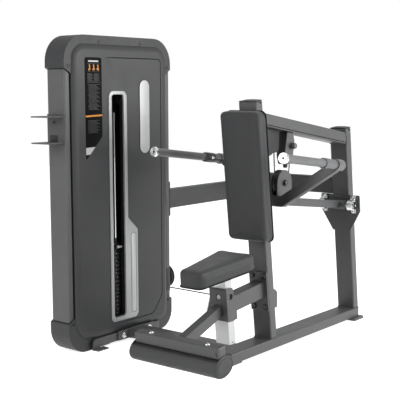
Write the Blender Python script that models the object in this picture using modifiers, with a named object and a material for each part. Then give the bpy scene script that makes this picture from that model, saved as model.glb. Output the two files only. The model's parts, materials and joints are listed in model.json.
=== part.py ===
"""Seated dip machine with a shrouded weight tower, at its real size.

Machine coordinates, in metres: X = 0 is the plane of the tower's front shroud and +X points to the
user's left, -Y is the way the user faces, Z = 0 is the floor. Every part hangs from one empty, which
puts the middle of the machine's footprint at the world origin.
"""

import math

import bmesh
import bpy
from mathutils import Matrix, Vector

# ---------------------------------------------------------------- driving dimensions
GAP = 0.0003
FOOTPRINT_CENTRE = (0.4554, 0.5805)

LEAN = 0.1175  # forward lean of the columns: Y falls by this much for each metre of height
TILT = math.atan(LEAN)

MID_X = 0.661  # middle plane of the user's side of the machine
COLUMN_W, COLUMN_D = 0.100, 0.050
FRONT_COLUMN_Y0, FRONT_COLUMN_TOP = 0.526, 1.188
REAR_COLUMN_Y0, REAR_COLUMN_TOP = 1.323, 1.039
COLUMN_CAP_RISE = 0.0065
RAIL_Z = (0.010, 0.060)

TOWER_H = 1.500
TOWER_Y = (-0.120, 0.610)
TOWER_X = (-0.115, 0.003)
POST_T = 0.0315
COVER_Y = (-0.0835, 0.5735)
COVER_Z = (0.0523, 1.4575)
CAP_PROUD = 0.006
SLOT_Y = (0.1665, 0.2430)
SLOT_Z = (0.134, 1.221)

STACK_X, STACK_Y = -0.0585, 0.226
STACK_HALF = (0.0465, 0.100)
STACK_Z = (0.0520, 0.4500)
STACK_PLATES = 20
ROD_R, ROD_OFFSET = 0.0095, (0.030, 0.069)  # the rods stand at opposite corners of the stack
TOP_WEIGHT_T = 0.040
PIN_Z = 0.4745

PIVOT = Vector((MID_X, 1.2065, 0.640))
ARM_REST = math.radians(7.1)
YOKE_U = (-0.6066, -0.5686)
ARM_TUBE_W, ARM_TUBE_H = 0.050, 0.040
SHAFT_R = 0.015

GRIP_R, SLEEVE_R, COLLAR_R, CAP_R = 0.0185, 0.0225, 0.0265, 0.0240
HANDLE_REAR = (0.3277, -0.5655)  # offset from the middle plane, U
HANDLE_FRONT = (0.356, -1.0965)
HANDLE_V = 0.188

PULLEY_R, PULLEY_GROOVE, PULLEY_W, PULLEY_BORE = 0.0625, 0.0547, 0.024, 0.0085
CABLE_R, CABLE_PITCH = 0.0030, 0.0583
AXLE_R = 0.008
ARM_WHEEL = Vector((MID_X, 0.6700, 0.7970))
UPPER_WHEEL = Vector((MID_X, 0.5435, 0.9950))
REDIRECT_WHEEL = Vector((0.6027, 0.5700, 0.2720))
SIDE_WHEEL = Vector((-0.0580, 0.6350, 0.2585))
CORNER_WHEEL = Vector((-0.0735, 0.5942, 1.1950))
TOP_WHEEL = Vector((STACK_X, STACK_Y + CABLE_PITCH, 1.1950))
ANCHOR = Vector((MID_X, 0.7420, 0.9050))

SEAT_POST_W, SEAT_POST_Y0 = 0.076, (0.2145, 0.2625)
SEAT_TOP_Z = 0.469  # height of the seat's top plane at Y = 0
SEAT_T = 0.073

PAD_AXIS, PAD_HALF, PAD_TILT = (-0.0985, 0.1100), (0.0645, 0.0480), math.radians(10.4)  # oval foot pad
PAD_X = (0.4175, 0.8985)
BAR_CENTRE, BAR_X = (-0.1074, 0.1706), (0.430, 0.892)

# ---------------------------------------------------------------- clean start
for old in list(bpy.data.objects):
    bpy.data.objects.remove(old, do_unlink=True)

scene = bpy.context.scene
parts = bpy.data.collections.new("seated_dip_machine")
scene.collection.children.link(parts)

machine = bpy.data.objects.new("machine_origin", None)
machine.location = (-FOOTPRINT_CENTRE[0], -FOOTPRINT_CENTRE[1], 0)
parts.objects.link(machine)


def material(name, colour, roughness, metallic=0.0):
    made = bpy.data.materials.new(name)
    made.use_nodes = True
    shader = made.node_tree.nodes["Principled BSDF"]
    shader.inputs["Base Color"].default_value = (*colour, 1)
    shader.inputs["Roughness"].default_value = roughness
    shader.inputs["Metallic"].default_value = metallic
    made.diffuse_color = (*colour, 1)
    return made


FRAME = material("frame_paint", (0.085, 0.087, 0.092), 0.42, 0.25)
POST = material("tower_post_paint", (0.16, 0.16, 0.165), 0.45, 0.25)
COVER = material("tower_cover_paint", (0.075, 0.077, 0.08), 0.5)
CAP = material("cap_plastic", (0.07, 0.071, 0.074), 0.5)
PAD = material("pad_leather", (0.07, 0.071, 0.075), 0.55)
BOARD = material("pad_board", (0.02, 0.02, 0.02), 0.6)
SILVER = material("silver_trim", (0.62, 0.63, 0.64), 0.35, 0.4)
CHROME = material("chrome", (0.85, 0.85, 0.86), 0.12, 1.0)
BLACK = material("black_plastic", (0.012, 0.012, 0.013), 0.4)
RUBBER = material("roller_rubber", (0.05, 0.05, 0.052), 0.65)
IRON = material("weight_iron", (0.02, 0.02, 0.021), 0.5, 0.5)
CABLE = material("cable_jacket", (0.015, 0.015, 0.016), 0.35)
BEARING = material("bearing_housing", (0.45, 0.46, 0.47), 0.35, 0.8)


# ---------------------------------------------------------------- shape helpers
def evaluated_mesh(obj):
    graph = bpy.context.evaluated_depsgraph_get()
    graph.update()
    return bpy.data.meshes.new_from_object(obj.evaluated_get(graph))


def bake(obj):
    """Make the object's modifiers part of its mesh."""
    mesh = evaluated_mesh(obj)
    obj.modifiers.clear()
    old, obj.data = obj.data, mesh
    bpy.data.meshes.remove(old)
    return obj


def clean(mesh, weld=1e-6):
    work = bmesh.new()
    work.from_mesh(mesh)
    bmesh.ops.remove_doubles(work, verts=work.verts, dist=weld)
    bmesh.ops.recalc_face_normals(work, faces=work.faces)
    work.to_mesh(mesh)
    work.free()


def new_object(name, mesh, finish):
    obj = bpy.data.objects.new(name, mesh)
    mesh.materials.clear()
    mesh.materials.append(finish)
    parts.objects.link(obj)
    return obj


def from_bmesh(name, work, finish):
    mesh = bpy.data.meshes.new(name)
    bmesh.ops.recalc_face_normals(work, faces=work.faces)
    work.to_mesh(mesh)
    work.free()
    return new_object(name, mesh, finish)


def bevelled(obj, width, segments=2):
    if width:
        rounding = obj.modifiers.new("Bevel", "BEVEL")
        rounding.width = width
        rounding.segments = segments
        rounding.limit_method = "ANGLE"
        rounding.angle_limit = math.radians(35)
        rounding.use_clamp_overlap = True
        bake(obj)
    return obj


def block(name, low, high, finish, bevel=0.0, segments=2, frame=None):
    work = bmesh.new()
    bmesh.ops.create_cube(work, size=1)
    low, high = Vector(low), Vector(high)
    size = high - low
    bmesh.ops.scale(work, vec=size, verts=work.verts)
    bmesh.ops.translate(work, vec=(low + high) / 2, verts=work.verts)
    if frame:
        bmesh.ops.transform(work, matrix=frame, verts=work.verts)
    return bevelled(from_bmesh(name, work, finish), bevel, segments)


def along(start, end):
    """Matrix that carries +Z, centred, onto the line between two points."""
    start, end = Vector(start), Vector(end)
    turn = (end - start).to_track_quat("Z", "Y").to_matrix().to_4x4()
    return Matrix.Translation((start + end) / 2) @ turn


def rod(name, start, end, radius, finish, sides=20):
    work = bmesh.new()
    bmesh.ops.create_cone(
        work,
        cap_ends=True,
        segments=sides,
        radius1=radius,
        radius2=radius,
        depth=(Vector(end) - Vector(start)).length,
    )
    bmesh.ops.transform(work, matrix=along(start, end), verts=work.verts)
    return from_bmesh(name, work, finish)


def turned(name, profile, finish, frame, steps=20, closed=False):
    """Spin (radius, height) points about the frame's Z axis."""
    mesh = bpy.data.meshes.new(name)
    edges = [(i, i + 1) for i in range(len(profile) - 1)]
    if closed:
        edges.append((len(profile) - 1, 0))
    mesh.from_pydata([(r, 0, z) for r, z in profile], edges, [])
    obj = new_object(name, mesh, finish)
    spin = obj.modifiers.new("Screw", "SCREW")
    spin.steps = spin.render_steps = steps
    spin.use_merge_vertices = True
    spin.merge_threshold = 0.00005
    bake(obj)
    clean(obj.data)
    obj.data.transform(frame)
    return obj


def axes(x, y, z, origin=(0, 0, 0)):
    made = Matrix((x, y, z)).transposed().to_4x4()
    made.translation = Vector(origin)
    return made


SIDE = axes((0, 1, 0), (0, 0, 1), (1, 0, 0))  # an outline of (Y, Z), thickness along X
FRONT = axes((1, 0, 0), (0, 0, 1), (0, -1, 0))  # an outline of (X, Z), thickness along -Y
PLAN = Matrix.Identity(4)
LEAN_UP = Vector((0, -math.sin(TILT), math.cos(TILT)))
LEAN_REAR = Vector((0, math.cos(TILT), math.sin(TILT)))


def prism(name, outlines, low, high, finish, frame=SIDE, bevel=0.0, segments=2):
    """A flat outline, with any holes after it, from low to high along the frame's third axis."""
    curve = bpy.data.curves.new(name, "CURVE")
    curve.dimensions = "2D"
    curve.fill_mode = "BOTH"
    curve.extrude = (high - low) / 2
    for outline in outlines:
        spline = curve.splines.new("POLY")
        spline.points.add(len(outline) - 1)
        for point, (u, v) in zip(spline.points, outline):
            point.co = (u, v, 0, 1)
        spline.use_cyclic_u = True
    guide = bpy.data.objects.new(name + "_guide", curve)
    scene.collection.objects.link(guide)
    mesh = evaluated_mesh(guide)
    bpy.data.objects.remove(guide)
    clean(mesh)
    mesh.transform(frame @ Matrix.Translation((0, 0, (low + high) / 2)))
    return bevelled(new_object(name, mesh, finish), bevel, segments)


def boolean(obj, others, operation):
    for other in others:
        step = obj.modifiers.new(operation, "BOOLEAN")
        step.operation = operation
        step.solver = "EXACT"
        step.object = other
        bake(obj)
        bpy.data.objects.remove(other)
    clean(obj.data)
    finish = obj.data.materials[0]
    obj.data.materials.clear()
    obj.data.materials.append(finish)
    for face in obj.data.polygons:
        face.material_index = 0
    return obj


def union(obj, *others):
    return boolean(obj, others, "UNION")


def cut(obj, *others):
    return boolean(obj, others, "DIFFERENCE")


def tube_along(name, points, radius, finish):
    """A cable through the points, eight-sided."""
    curve = bpy.data.curves.new(name, "CURVE")
    curve.dimensions = "3D"
    curve.bevel_depth = radius
    curve.bevel_resolution = 2
    curve.use_fill_caps = True
    spline = curve.splines.new("POLY")
    spline.points.add(len(points) - 1)
    for point, place in zip(spline.points, points):
        point.co = (*place, 1)
    guide = bpy.data.objects.new(name + "_guide", curve)
    scene.collection.objects.link(guide)
    mesh = evaluated_mesh(guide)
    bpy.data.objects.remove(guide)
    clean(mesh)
    return new_object(name, mesh, finish)


def finished(obj, origin=(0, 0, 0), angle=32):
    """Shade the piece, put its origin on its joint axis and hang it from the machine."""
    obj.data.transform(Matrix.Translation(-Vector(origin)))
    obj.location = origin
    obj.parent = machine
    obj.data.shade_smooth()
    obj.data.set_sharp_from_angle(angle=math.radians(angle))
    return obj


def lean_y(y0, z):
    return y0 - LEAN * z


def lean_box(name, x, y0, z, finish, bevel=0.0, segments=2):
    """A box whose front and back lean with the columns and whose ends are level."""
    outline = [
        (lean_y(y0[0], z[0]), z[0]),
        (lean_y(y0[1], z[0]), z[0]),
        (lean_y(y0[1], z[1]), z[1]),
        (lean_y(y0[0], z[1]), z[1]),
    ]
    return prism(name, [outline], x[0], x[1], finish, bevel=bevel, segments=segments)


def circle(u, v, radius, count=20, start=0.0, sweep=2 * math.pi):
    last = count if abs(sweep - 2 * math.pi) < 1e-9 else count - 1
    return [
        (
            u + radius * math.cos(start + sweep * i / last),
            v + radius * math.sin(start + sweep * i / last),
        )
        for i in range(count)
    ]


def rounded(corners, radii, steps=6):
    """A closed outline with each corner rounded by its own radius."""
    made = []
    count = len(corners)
    for i, corner in enumerate(corners):
        here = Vector(corner)
        radius = radii[i] if isinstance(radii, (list, tuple)) else radii
        if radius <= 0:
            made.append(tuple(here))
            continue
        before = (Vector(corners[i - 1]) - here).normalized()
        after = (Vector(corners[(i + 1) % count]) - here).normalized()
        half = before.angle(after) / 2
        reach = radius / math.tan(half)
        centre = here + (before + after).normalized() * (radius / math.sin(half))
        first, last = here + before * reach - centre, here + after * reach - centre
        turn = math.atan2(first.x * last.y - first.y * last.x, first.dot(last))
        for k in range(steps + 1):
            angle = turn * k / steps
            c, s = math.cos(angle), math.sin(angle)
            made.append(
                (centre.x + c * first.x - s * first.y, centre.y + s * first.x + c * first.y)
            )
    return made


def rectangle(u, v):
    return [(u[0], v[0]), (u[1], v[0]), (u[1], v[1]), (u[0], v[1])]


# ---------------------------------------------------------------- base
rail = block(
    "base_rail",
    (MID_X - 0.05, 0.200, RAIL_Z[0]),
    (MID_X + 0.05, 1.372, RAIL_Z[1]),
    FRAME,
    bevel=0.005,
)
rear_foot = prism(
    "rear_foot",
    [rounded(rectangle((MID_X - 0.074, MID_X + 0.074), (1.285, 1.390)), 0.012, 3)],
    0.0,
    0.0115,
    FRAME,
    frame=PLAN,
)
front_foot = block(
    "front_foot", (MID_X - 0.04, 0.215, 0), (MID_X + 0.04, 0.295, 0.0115), FRAME
)
finished(union(rail, rear_foot, front_foot))

cross = block(
    "base_cross_tube", (0.0250, 0.266, 0.010), (0.6107, 0.366, 0.060), FRAME, bevel=0.005
)
cross_flange = block(
    "flange", (0.0203, 0.185, 0.0120), (0.0285, 0.450, 0.0590), FRAME, bevel=0.001, segments=1
)
cross_bolts = [
    rod("bolt", (0.026, y, 0.034), (0.0365, y, 0.034), 0.0095, FRAME, sides=6)
    for y in (0.225, 0.415)
]
finished(union(cross, cross_flange, *cross_bolts))

# ---------------------------------------------------------------- columns and their caps
LEAN_FRONT = axes((1, 0, 0), LEAN_UP, -LEAN_REAR)


def column(name, y0, top):
    rear = y0 + COLUMN_D / math.cos(TILT)
    outline = [
        (lean_y(y0, RAIL_Z[1] + GAP), RAIL_Z[1] + GAP),
        (lean_y(rear, RAIL_Z[1] + GAP), RAIL_Z[1] + GAP),
        (lean_y(y0, top) + COLUMN_D * LEAN_REAR.y, top + COLUMN_D * LEAN_REAR.z),
        (lean_y(y0, top), top),
    ]
    half = COLUMN_W / 2
    return prism(name, [outline], MID_X - half, MID_X + half, FRAME, bevel=0.006)


def column_cap(name, y0, top):
    """A plastic plug with a low domed top, seated on the end of a column."""
    half, rim = COLUMN_W / 2 - 0.001, 0.0015
    crown = [
        (half * math.cos(a), rim + (COLUMN_CAP_RISE - rim) * math.sin(a) ** 0.7)
        for a in (math.pi * i / 14 for i in range(15))
    ]
    outline = [(half, 0.0), *crown, (-half, 0.0)]
    seat = Vector((MID_X, lean_y(y0, top), top)) + LEAN_UP * GAP
    depth = COLUMN_D - 0.001
    plane = axes((1, 0, 0), LEAN_UP, -LEAN_REAR, seat)
    return prism(name, [outline], -depth, -0.001, CAP, frame=plane)


finished(column("front_column", FRONT_COLUMN_Y0, FRONT_COLUMN_TOP))
finished(column("rear_column", REAR_COLUMN_Y0, REAR_COLUMN_TOP))
finished(column_cap("front_column_cap", FRONT_COLUMN_Y0, FRONT_COLUMN_TOP))
finished(column_cap("rear_column_cap", REAR_COLUMN_Y0, REAR_COLUMN_TOP))

# ---------------------------------------------------------------- upper beam
BEAM_SLOPE, BEAM_AT, BEAM_H = -0.156, (0.501, 1.131), 0.060
BEAM_DROP = BEAM_H * math.sqrt(1 + BEAM_SLOPE**2)


def on_beam(y0, drop):
    """Where the beam's top line, lowered by drop, meets a plane that leans with the columns."""
    y = (y0 - LEAN * (BEAM_AT[1] - drop - BEAM_SLOPE * BEAM_AT[0])) / (
        1 + LEAN * BEAM_SLOPE
    )
    return (y, BEAM_AT[1] - drop + BEAM_SLOPE * (y - BEAM_AT[0]))


def beam_underside(y):
    return BEAM_AT[1] - BEAM_DROP + BEAM_SLOPE * (y - BEAM_AT[0])


beam_y0 = (FRONT_COLUMN_Y0 + COLUMN_D / math.cos(TILT) + GAP, REAR_COLUMN_Y0 - GAP)
finished(
    prism(
        "upper_beam",
        [
            [
                on_beam(beam_y0[0], BEAM_DROP),
                on_beam(beam_y0[1], BEAM_DROP),
                on_beam(beam_y0[1], 0),
                on_beam(beam_y0[0], 0),
            ]
        ],
        MID_X - 0.05,
        MID_X + 0.05,
        FRAME,
        bevel=0.006,
    )
)

# ---------------------------------------------------------------- seat carrier
seat_arm = prism(
    "seat_arm",
    [
        [
            (lean_y(0.2805, 0.2440), 0.2440),
            (lean_y(0.5190, 0.2685), 0.2685),
            (lean_y(0.5190, 0.3440), 0.3440),
            (lean_y(0.2805, 0.3185), 0.3185),
        ]
    ],
    MID_X - 0.030,
    MID_X + 0.030,
    FRAME,
    bevel=0.005,
)
arm_flange = lean_box(
    "flange",
    (MID_X - 0.05, MID_X + 0.05),
    (FRONT_COLUMN_Y0 - 0.0085, FRONT_COLUMN_Y0 - GAP),
    (0.200, 0.392),
    FRAME,
    bevel=0.001,
    segments=1,
)
arm_bolts = []
for x in (MID_X - 0.031, MID_X + 0.034):
    for z in (0.222, 0.372):
        face = Vector((x, lean_y(FRONT_COLUMN_Y0 - 0.006, z), z))
        arm_bolts.append(rod("bolt", face, face - 0.0085 * LEAN_REAR, 0.0095, FRAME, 12))
finished(union(seat_arm, arm_flange, *arm_bolts))

SLEEVE_Y0, CHEEK_Y0 = 0.2035, 0.2015
sleeve = lean_box("seat_sleeve", (0.6130, 0.7055), (SLEEVE_Y0, 0.280), (0.213, 0.362), FRAME, 0.003)
sleeve_cheek = prism(
    "cheek",
    [
        rounded(
            [
                (lean_y(CHEEK_Y0, 0.213), 0.213),
                (0.2400, 0.213),
                (0.2275, 0.262),
                (0.2085, 0.366),
                (lean_y(CHEEK_Y0, 0.366), 0.366),
            ],
            [0.004, 0.016, 0.008, 0.012, 0.003],
            4,
        )
    ],
    0.7035,
    0.7115,
    FRAME,
)
union(sleeve, sleeve_cheek)
post_room = lean_box(
    "room",
    (MID_X - SEAT_POST_W / 2 - GAP, MID_X + SEAT_POST_W / 2 + GAP),
    (SEAT_POST_Y0[0] - GAP, SEAT_POST_Y0[1] + GAP),
    (0.15, 0.45),
    FRAME,
)
rear_relief = lean_box("relief", (0.60, 0.72), (0.2590, 0.320), (0.3250, 0.400), FRAME)
front_hole = rod("hole", (0.6625, 0.130, 0.3245), (0.6625, 0.200, 0.3245), 0.0130, FRAME)
side_hole = rod("hole", (0.690, 0.194, 0.3265), (0.730, 0.194, 0.3265), 0.0138, FRAME)
finished(cut(sleeve, post_room, rear_relief, front_hole, side_hole))


def on_brace(anchor, direction, offset):
    """Where the brace's top line, moved down by offset, meets a line through anchor."""
    slope = 0.3577
    z0 = 0.287 - slope * 0.163 - offset * math.sqrt(1 + slope**2)
    t = (z0 + slope * anchor[0] - anchor[1]) / (direction[1] - slope * direction[0])
    return (anchor[0] + t * direction[0], anchor[1] + t * direction[1])


bar_rear = (
    BAR_CENTRE[0] + (0.024 + GAP) * LEAN_REAR.y,
    BAR_CENTRE[1] + (0.024 + GAP) * LEAN_REAR.z,
)
sleeve_front = (lean_y(SLEEVE_Y0 - GAP, 0.2), 0.2)
up = (LEAN_UP.y, LEAN_UP.z)
finished(
    prism(
        "seat_brace",
        [
            [
                on_brace(bar_rear, up, 0.050),
                on_brace(sleeve_front, up, 0.050),
                on_brace(sleeve_front, up, 0.0),
                on_brace(bar_rear, up, 0.0),
            ]
        ],
        MID_X - 0.020,
        MID_X + 0.020,
        FRAME,
        bevel=0.004,
    )
)

bar_frame = axes((1, 0, 0), LEAN_REAR, LEAN_UP, (0, BAR_CENTRE[0], BAR_CENTRE[1]))
foot_bar = block(
    "foot_bar",
    (BAR_X[0], -0.024, -0.025),
    (BAR_X[1], 0.024, 0.025),
    FRAME,
    bevel=0.005,
    frame=bar_frame,
)
bar_bolts = [
    rod(
        "bolt",
        bar_frame @ Vector((x, -0.003, 0.022)),
        bar_frame @ Vector((x, -0.003, 0.0305)),
        0.009,
        FRAME,
        sides=12,
    )
    for x in (0.509, 0.819)
]
finished(union(foot_bar, *bar_bolts))


# The foot pad is oval, and moulded up round the underside of the bar.
pad_oval = [
    (
        PAD_AXIS[0] + PAD_HALF[0] * c * math.cos(PAD_TILT) - PAD_HALF[1] * d * math.sin(PAD_TILT),
        PAD_AXIS[1] + PAD_HALF[0] * c * math.sin(PAD_TILT) + PAD_HALF[1] * d * math.cos(PAD_TILT),
    )
    for c, d in ((math.cos(a), math.sin(a)) for a in (2 * math.pi * i / 32 for i in range(32)))
]
foot_pad = prism("foot_pad", [pad_oval], PAD_X[0], PAD_X[1], RUBBER, bevel=0.007, segments=3)
bar_room = block(
    "room",
    (BAR_X[0] - GAP, -0.024 - GAP, -0.025 - GAP),
    (BAR_X[1] + GAP, 0.024 + GAP, 0.060),
    RUBBER,
    frame=bar_frame,
)
brace_room = block(
    "room",
    (MID_X - 0.0203, -0.0900, 0.1478),
    (MID_X + 0.0203, -0.0150, 0.2000),
    RUBBER,
)
finished(cut(foot_pad, bar_room, brace_room))

# ---------------------------------------------------------------- tie beams to the tower
link = prism(
    "link_beam",
    [
        [
            (0.6150, 0.628),
            (lean_y(1.3150, 0.628), 0.628),
            (lean_y(1.3150, 0.727), 0.727),
            (0.6150, 0.727),
        ]
    ],
    -0.050,
    0.000,
    FRAME,
    bevel=0.005,
)
link_flange = block(
    "flange", (-0.078, TOWER_Y[1] + GAP, 0.588), (0.001, 0.6185, 0.768), FRAME, 0.001, 1
)
corner_plate = lean_box(
    "corner", (-0.064, 0.062), (1.3140, 1.3227), (0.612, 0.795), FRAME, 0.001, 1
)
link_bolts = [
    rod("bolt", (x, 0.616, z), (x, 0.6245, z), 0.0085, FRAME, sides=6)
    for x in (-0.062, -0.014)
    for z in (0.606, 0.750)
]
finished(union(link, link_flange, corner_plate, *link_bolts))

finished(
    lean_box(
        "rear_cross_beam",
        (-0.055, MID_X - 0.05 - GAP),
        (REAR_COLUMN_Y0, REAR_COLUMN_Y0 + COLUMN_D / math.cos(TILT)),
        (0.690, 0.780),
        FRAME,
        0.005,
    )
)

# ---------------------------------------------------------------- pivot gusset and bearings
GUSSET_T = 0.008
scale_up = 1 / math.cos(TILT)
gusset_plane = axes((1, 0, 0), LEAN_UP, -LEAN_REAR, (MID_X, REAR_COLUMN_Y0, 0))
gusset = prism(
    "pivot_gusset",
    [
        rounded(
            [
                (-0.115, 0.690 * scale_up),
                (-0.115, 0.605 * scale_up),
                (-0.052, 0.495 * scale_up),
                (0.052, 0.495 * scale_up),
                (0.115, 0.605 * scale_up),
                (0.115, 0.690 * scale_up),
            ],
            0.006,
            3,
        )
    ],
    GAP,
    GUSSET_T + GAP,
    FRAME,
    frame=gusset_plane,
)
finished(gusset)

gusset_face = REAR_COLUMN_Y0 - (GUSSET_T + 2 * GAP) / math.cos(TILT)
pivot_gap = (gusset_face - PIVOT.y - LEAN * PIVOT.z) * math.cos(TILT)
bearing_frame = axes(LEAN_UP, LEAN_REAR, (-1, 0, 0), PIVOT)


def bearing(name, x):
    base = pivot_gap - GAP
    outline = [(-0.047, base), (-0.047, base - 0.012), (-0.030, base - 0.012)]
    outline += circle(0, 0, 0.0285, 15, math.radians(152) - 2 * math.pi, math.radians(236))
    outline += [(0.030, base - 0.012), (0.047, base - 0.012), (0.047, base)]
    hole = circle(0, 0, SHAFT_R + GAP, 20)
    low = -(x - MID_X) - 0.015
    return prism(name, [outline, hole], low, low + 0.030, BEARING, frame=bearing_frame)


finished(bearing("bearing_right", MID_X - 0.0855))
finished(bearing("bearing_left", MID_X + 0.0855))

# ---------------------------------------------------------------- cable brackets
wheel_side = PULLEY_W / 2 + 0.0065
upper_plates = []
for low in (MID_X + wheel_side, MID_X - wheel_side - 0.006):
    outline = [
        (0.4860, beam_underside(0.4860) - GAP),
        (0.4860, 0.975),
        *circle(0.5130, 0.975, 0.0270, 5, math.pi, math.pi / 2),
        *circle(0.5850, 0.975, 0.0270, 5, 1.5 * math.pi, math.pi / 2),
        (0.6120, 0.975),
        (0.6120, beam_underside(0.6120) - GAP),
    ]
    upper_plates.append(prism("plate", [outline], low, low + 0.006, FRAME))
upper_axle = rod(
    "axle",
    UPPER_WHEEL - Vector((wheel_side + 0.004, 0, 0)),
    UPPER_WHEEL + Vector((wheel_side + 0.004, 0, 0)),
    AXLE_R,
    FRAME,
)
heads = [
    rod(
        "head",
        UPPER_WHEEL + Vector((s * (wheel_side + 0.003), 0, 0)),
        UPPER_WHEEL + Vector((s * (wheel_side + 0.011), 0, 0)),
        0.013,
        FRAME,
        6,
    )
    for s in (-1, 1)
]
upper_bracket = upper_plates[0]
upper_bracket.name = "upper_pulley_bracket"
finished(union(upper_bracket, upper_axle, upper_plates[1], *heads))

hanger_top = [(0.7190, beam_underside(0.7190) - GAP), (0.6665, beam_underside(0.6665) - GAP)]
hanger = prism(
    "anchor_hanger",
    [
        [
            (0.6600, 0.888),
            (0.7300, 0.888),
            (0.7520, 0.900),
            (0.7520, 0.914),
            (0.7180, 0.932),
            (0.7305, 0.984),
            (0.7305, 0.998),
            *hanger_top,
            (0.6480, 0.953),
            (0.6450, 0.930),
        ]
    ],
    0.6480,
    0.6970,
    FRAME,
    bevel=0.002,
    segments=1,
)
hanger_slot = block("slot", (MID_X - 0.0055, 0.7340, 0.87), (MID_X + 0.0055, 0.80, 0.950), FRAME)
cut(hanger, hanger_slot)
anchor_pin = rod(
    "pin", ANCHOR - Vector((0.028, 0, 0)), ANCHOR + Vector((0.028, 0, 0)), 0.005, FRAME, 12
)
hanger_bolt = rod(
    "bolt", (0.6400, 0.7025, 0.975), (0.7215, 0.7025, 0.975), 0.012, FRAME, 16
)
finished(union(hanger, anchor_pin, hanger_bolt))
finished(
    turned(
        "arm_bumper",
        [(0, 0.0), (0.011, 0.0), (0.011, -0.014), (0.008, -0.019), (0, -0.019)],
        RUBBER,
        Matrix.Translation((MID_X + 0.010, 0.689, 0.888 - GAP)),
        steps=16,
    )
)

TAB_X = (MID_X + 0.0260, MID_X + 0.0320)
side_plate = prism(
    "redirect_bracket",
    [
        [
            (lean_y(0.5763 + GAP, 0.203), 0.203),
            (0.5940, 0.203),
            (0.5940, 0.276),
            (0.5820, 0.288),
            (lean_y(0.5763 + GAP, 0.288), 0.288),
        ]
    ],
    TAB_X[0],
    TAB_X[1],
    FRAME,
)
stub = block("stub", (TAB_X[0], 0.5450, 0.280), (TAB_X[1], 0.5560, 0.310), FRAME)
back_plate = prism(
    "plate",
    [rounded(rectangle((0.560, TAB_X[0] + 0.001), (0.222, 0.290)), 0.012, 3)],
    -0.590,
    -0.585,
    FRAME,
    frame=FRONT,
)
redirect_axle = rod(
    "axle", REDIRECT_WHEEL - Vector((0, 0.0138, 0)), (0.6027, 0.588, REDIRECT_WHEEL.z), AXLE_R, FRAME
)
axle_head = rod("head", (0.6027, 0.5885, REDIRECT_WHEEL.z), (0.6027, 0.5960, REDIRECT_WHEEL.z), 0.013, FRAME, 6)
finished(union(side_plate, stub, back_plate, redirect_axle, axle_head))

# ---------------------------------------------------------------- tower frame
cap_out_y = (TOWER_Y[0] - CAP_PROUD, TOWER_Y[1] + CAP_PROUD)
cap_x = (TOWER_X[0] - CAP_PROUD, 0.0070)
cap_in_y = (COVER_Y[0] - 0.0006, COVER_Y[1] + 0.0006)
cap_in_z = (COVER_Z[0] - 0.0006, COVER_Z[1] + 0.0006)
STEP_TOP = (1.347, 1.321)  # height of the top cap's lower edge: outer side, inner side
STEP_LOW = (0.150, 0.176)

top_cap_outline = [
    (cap_out_y[0], STEP_TOP[0]),
    (cap_in_y[0], STEP_TOP[1]),
    *rounded(
        [
            (cap_in_y[0], STEP_TOP[1]),
            (cap_in_y[0], cap_in_z[1]),
            (cap_in_y[1], cap_in_z[1]),
            (cap_in_y[1], STEP_TOP[1]),
        ],
        [0, 0.080, 0.080, 0],
        8,
    )[1:],
    *rounded(
        [
            (cap_out_y[1], STEP_TOP[0]),
            (cap_out_y[1], TOWER_H),
            (cap_out_y[0], TOWER_H),
            (cap_out_y[0], STEP_TOP[0]),
        ],
        [0, 0.125, 0.125, 0],
        10,
    )[:-1],
]
finished(
    prism("tower_top_cap", [top_cap_outline], cap_x[0], cap_x[1], CAP, bevel=0.006, segments=2)
)


def post(name, outer, inner, cap_outer, cap_inner):
    """A side post whose ends follow the sloping edges of the caps."""

    def depth(y):
        return (y - cap_outer) / (cap_inner - cap_outer)

    def foot(y):
        return STEP_LOW[0] + (STEP_LOW[1] - STEP_LOW[0]) * depth(y) + 0.0008

    def head(y):
        return STEP_TOP[0] + (STEP_TOP[1] - STEP_TOP[0]) * depth(y) - 0.0008

    outline = [(outer, foot(outer)), (inner, foot(inner)), (inner, head(inner)), (outer, head(outer))]
    return prism(name, [outline], TOWER_X[0], TOWER_X[1], POST, bevel=0.007, segments=3)


finished(
    post("tower_post_front", TOWER_Y[0], TOWER_Y[0] + POST_T, cap_out_y[0], cap_in_y[0])
)

rear_post = post(
    "tower_post_rear", TOWER_Y[1], TOWER_Y[1] - POST_T, cap_out_y[1], cap_in_y[1]
)
wheel_slot = block(
    "slot",
    (CORNER_WHEEL.x - 0.0145, 0.55, CORNER_WHEEL.z - 0.072),
    (CORNER_WHEEL.x + 0.0145, 0.65, CORNER_WHEEL.z + 0.072),
    POST,
)
cut(rear_post, wheel_slot)
corner_axle = rod(
    "axle",
    CORNER_WHEEL - Vector((0.020, 0, 0)),
    CORNER_WHEEL + Vector((0.020, 0, 0)),
    AXLE_R,
    POST,
)
side_axle = rod("axle", (SIDE_WHEEL.x, 0.606, SIDE_WHEEL.z), (SIDE_WHEEL.x, 0.6495, SIDE_WHEEL.z), AXLE_R, POST)
side_collar = rod("collar", (SIDE_WHEEL.x, 0.607, SIDE_WHEEL.z), (SIDE_WHEEL.x, 0.6215, SIDE_WHEEL.z), 0.015, POST)
side_head = rod("head", (SIDE_WHEEL.x, 0.6485, SIDE_WHEEL.z), (SIDE_WHEEL.x, 0.6560, SIDE_WHEEL.z), 0.013, POST, 6)
finished(union(rear_post, corner_axle, side_axle, side_collar, side_head))


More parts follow.
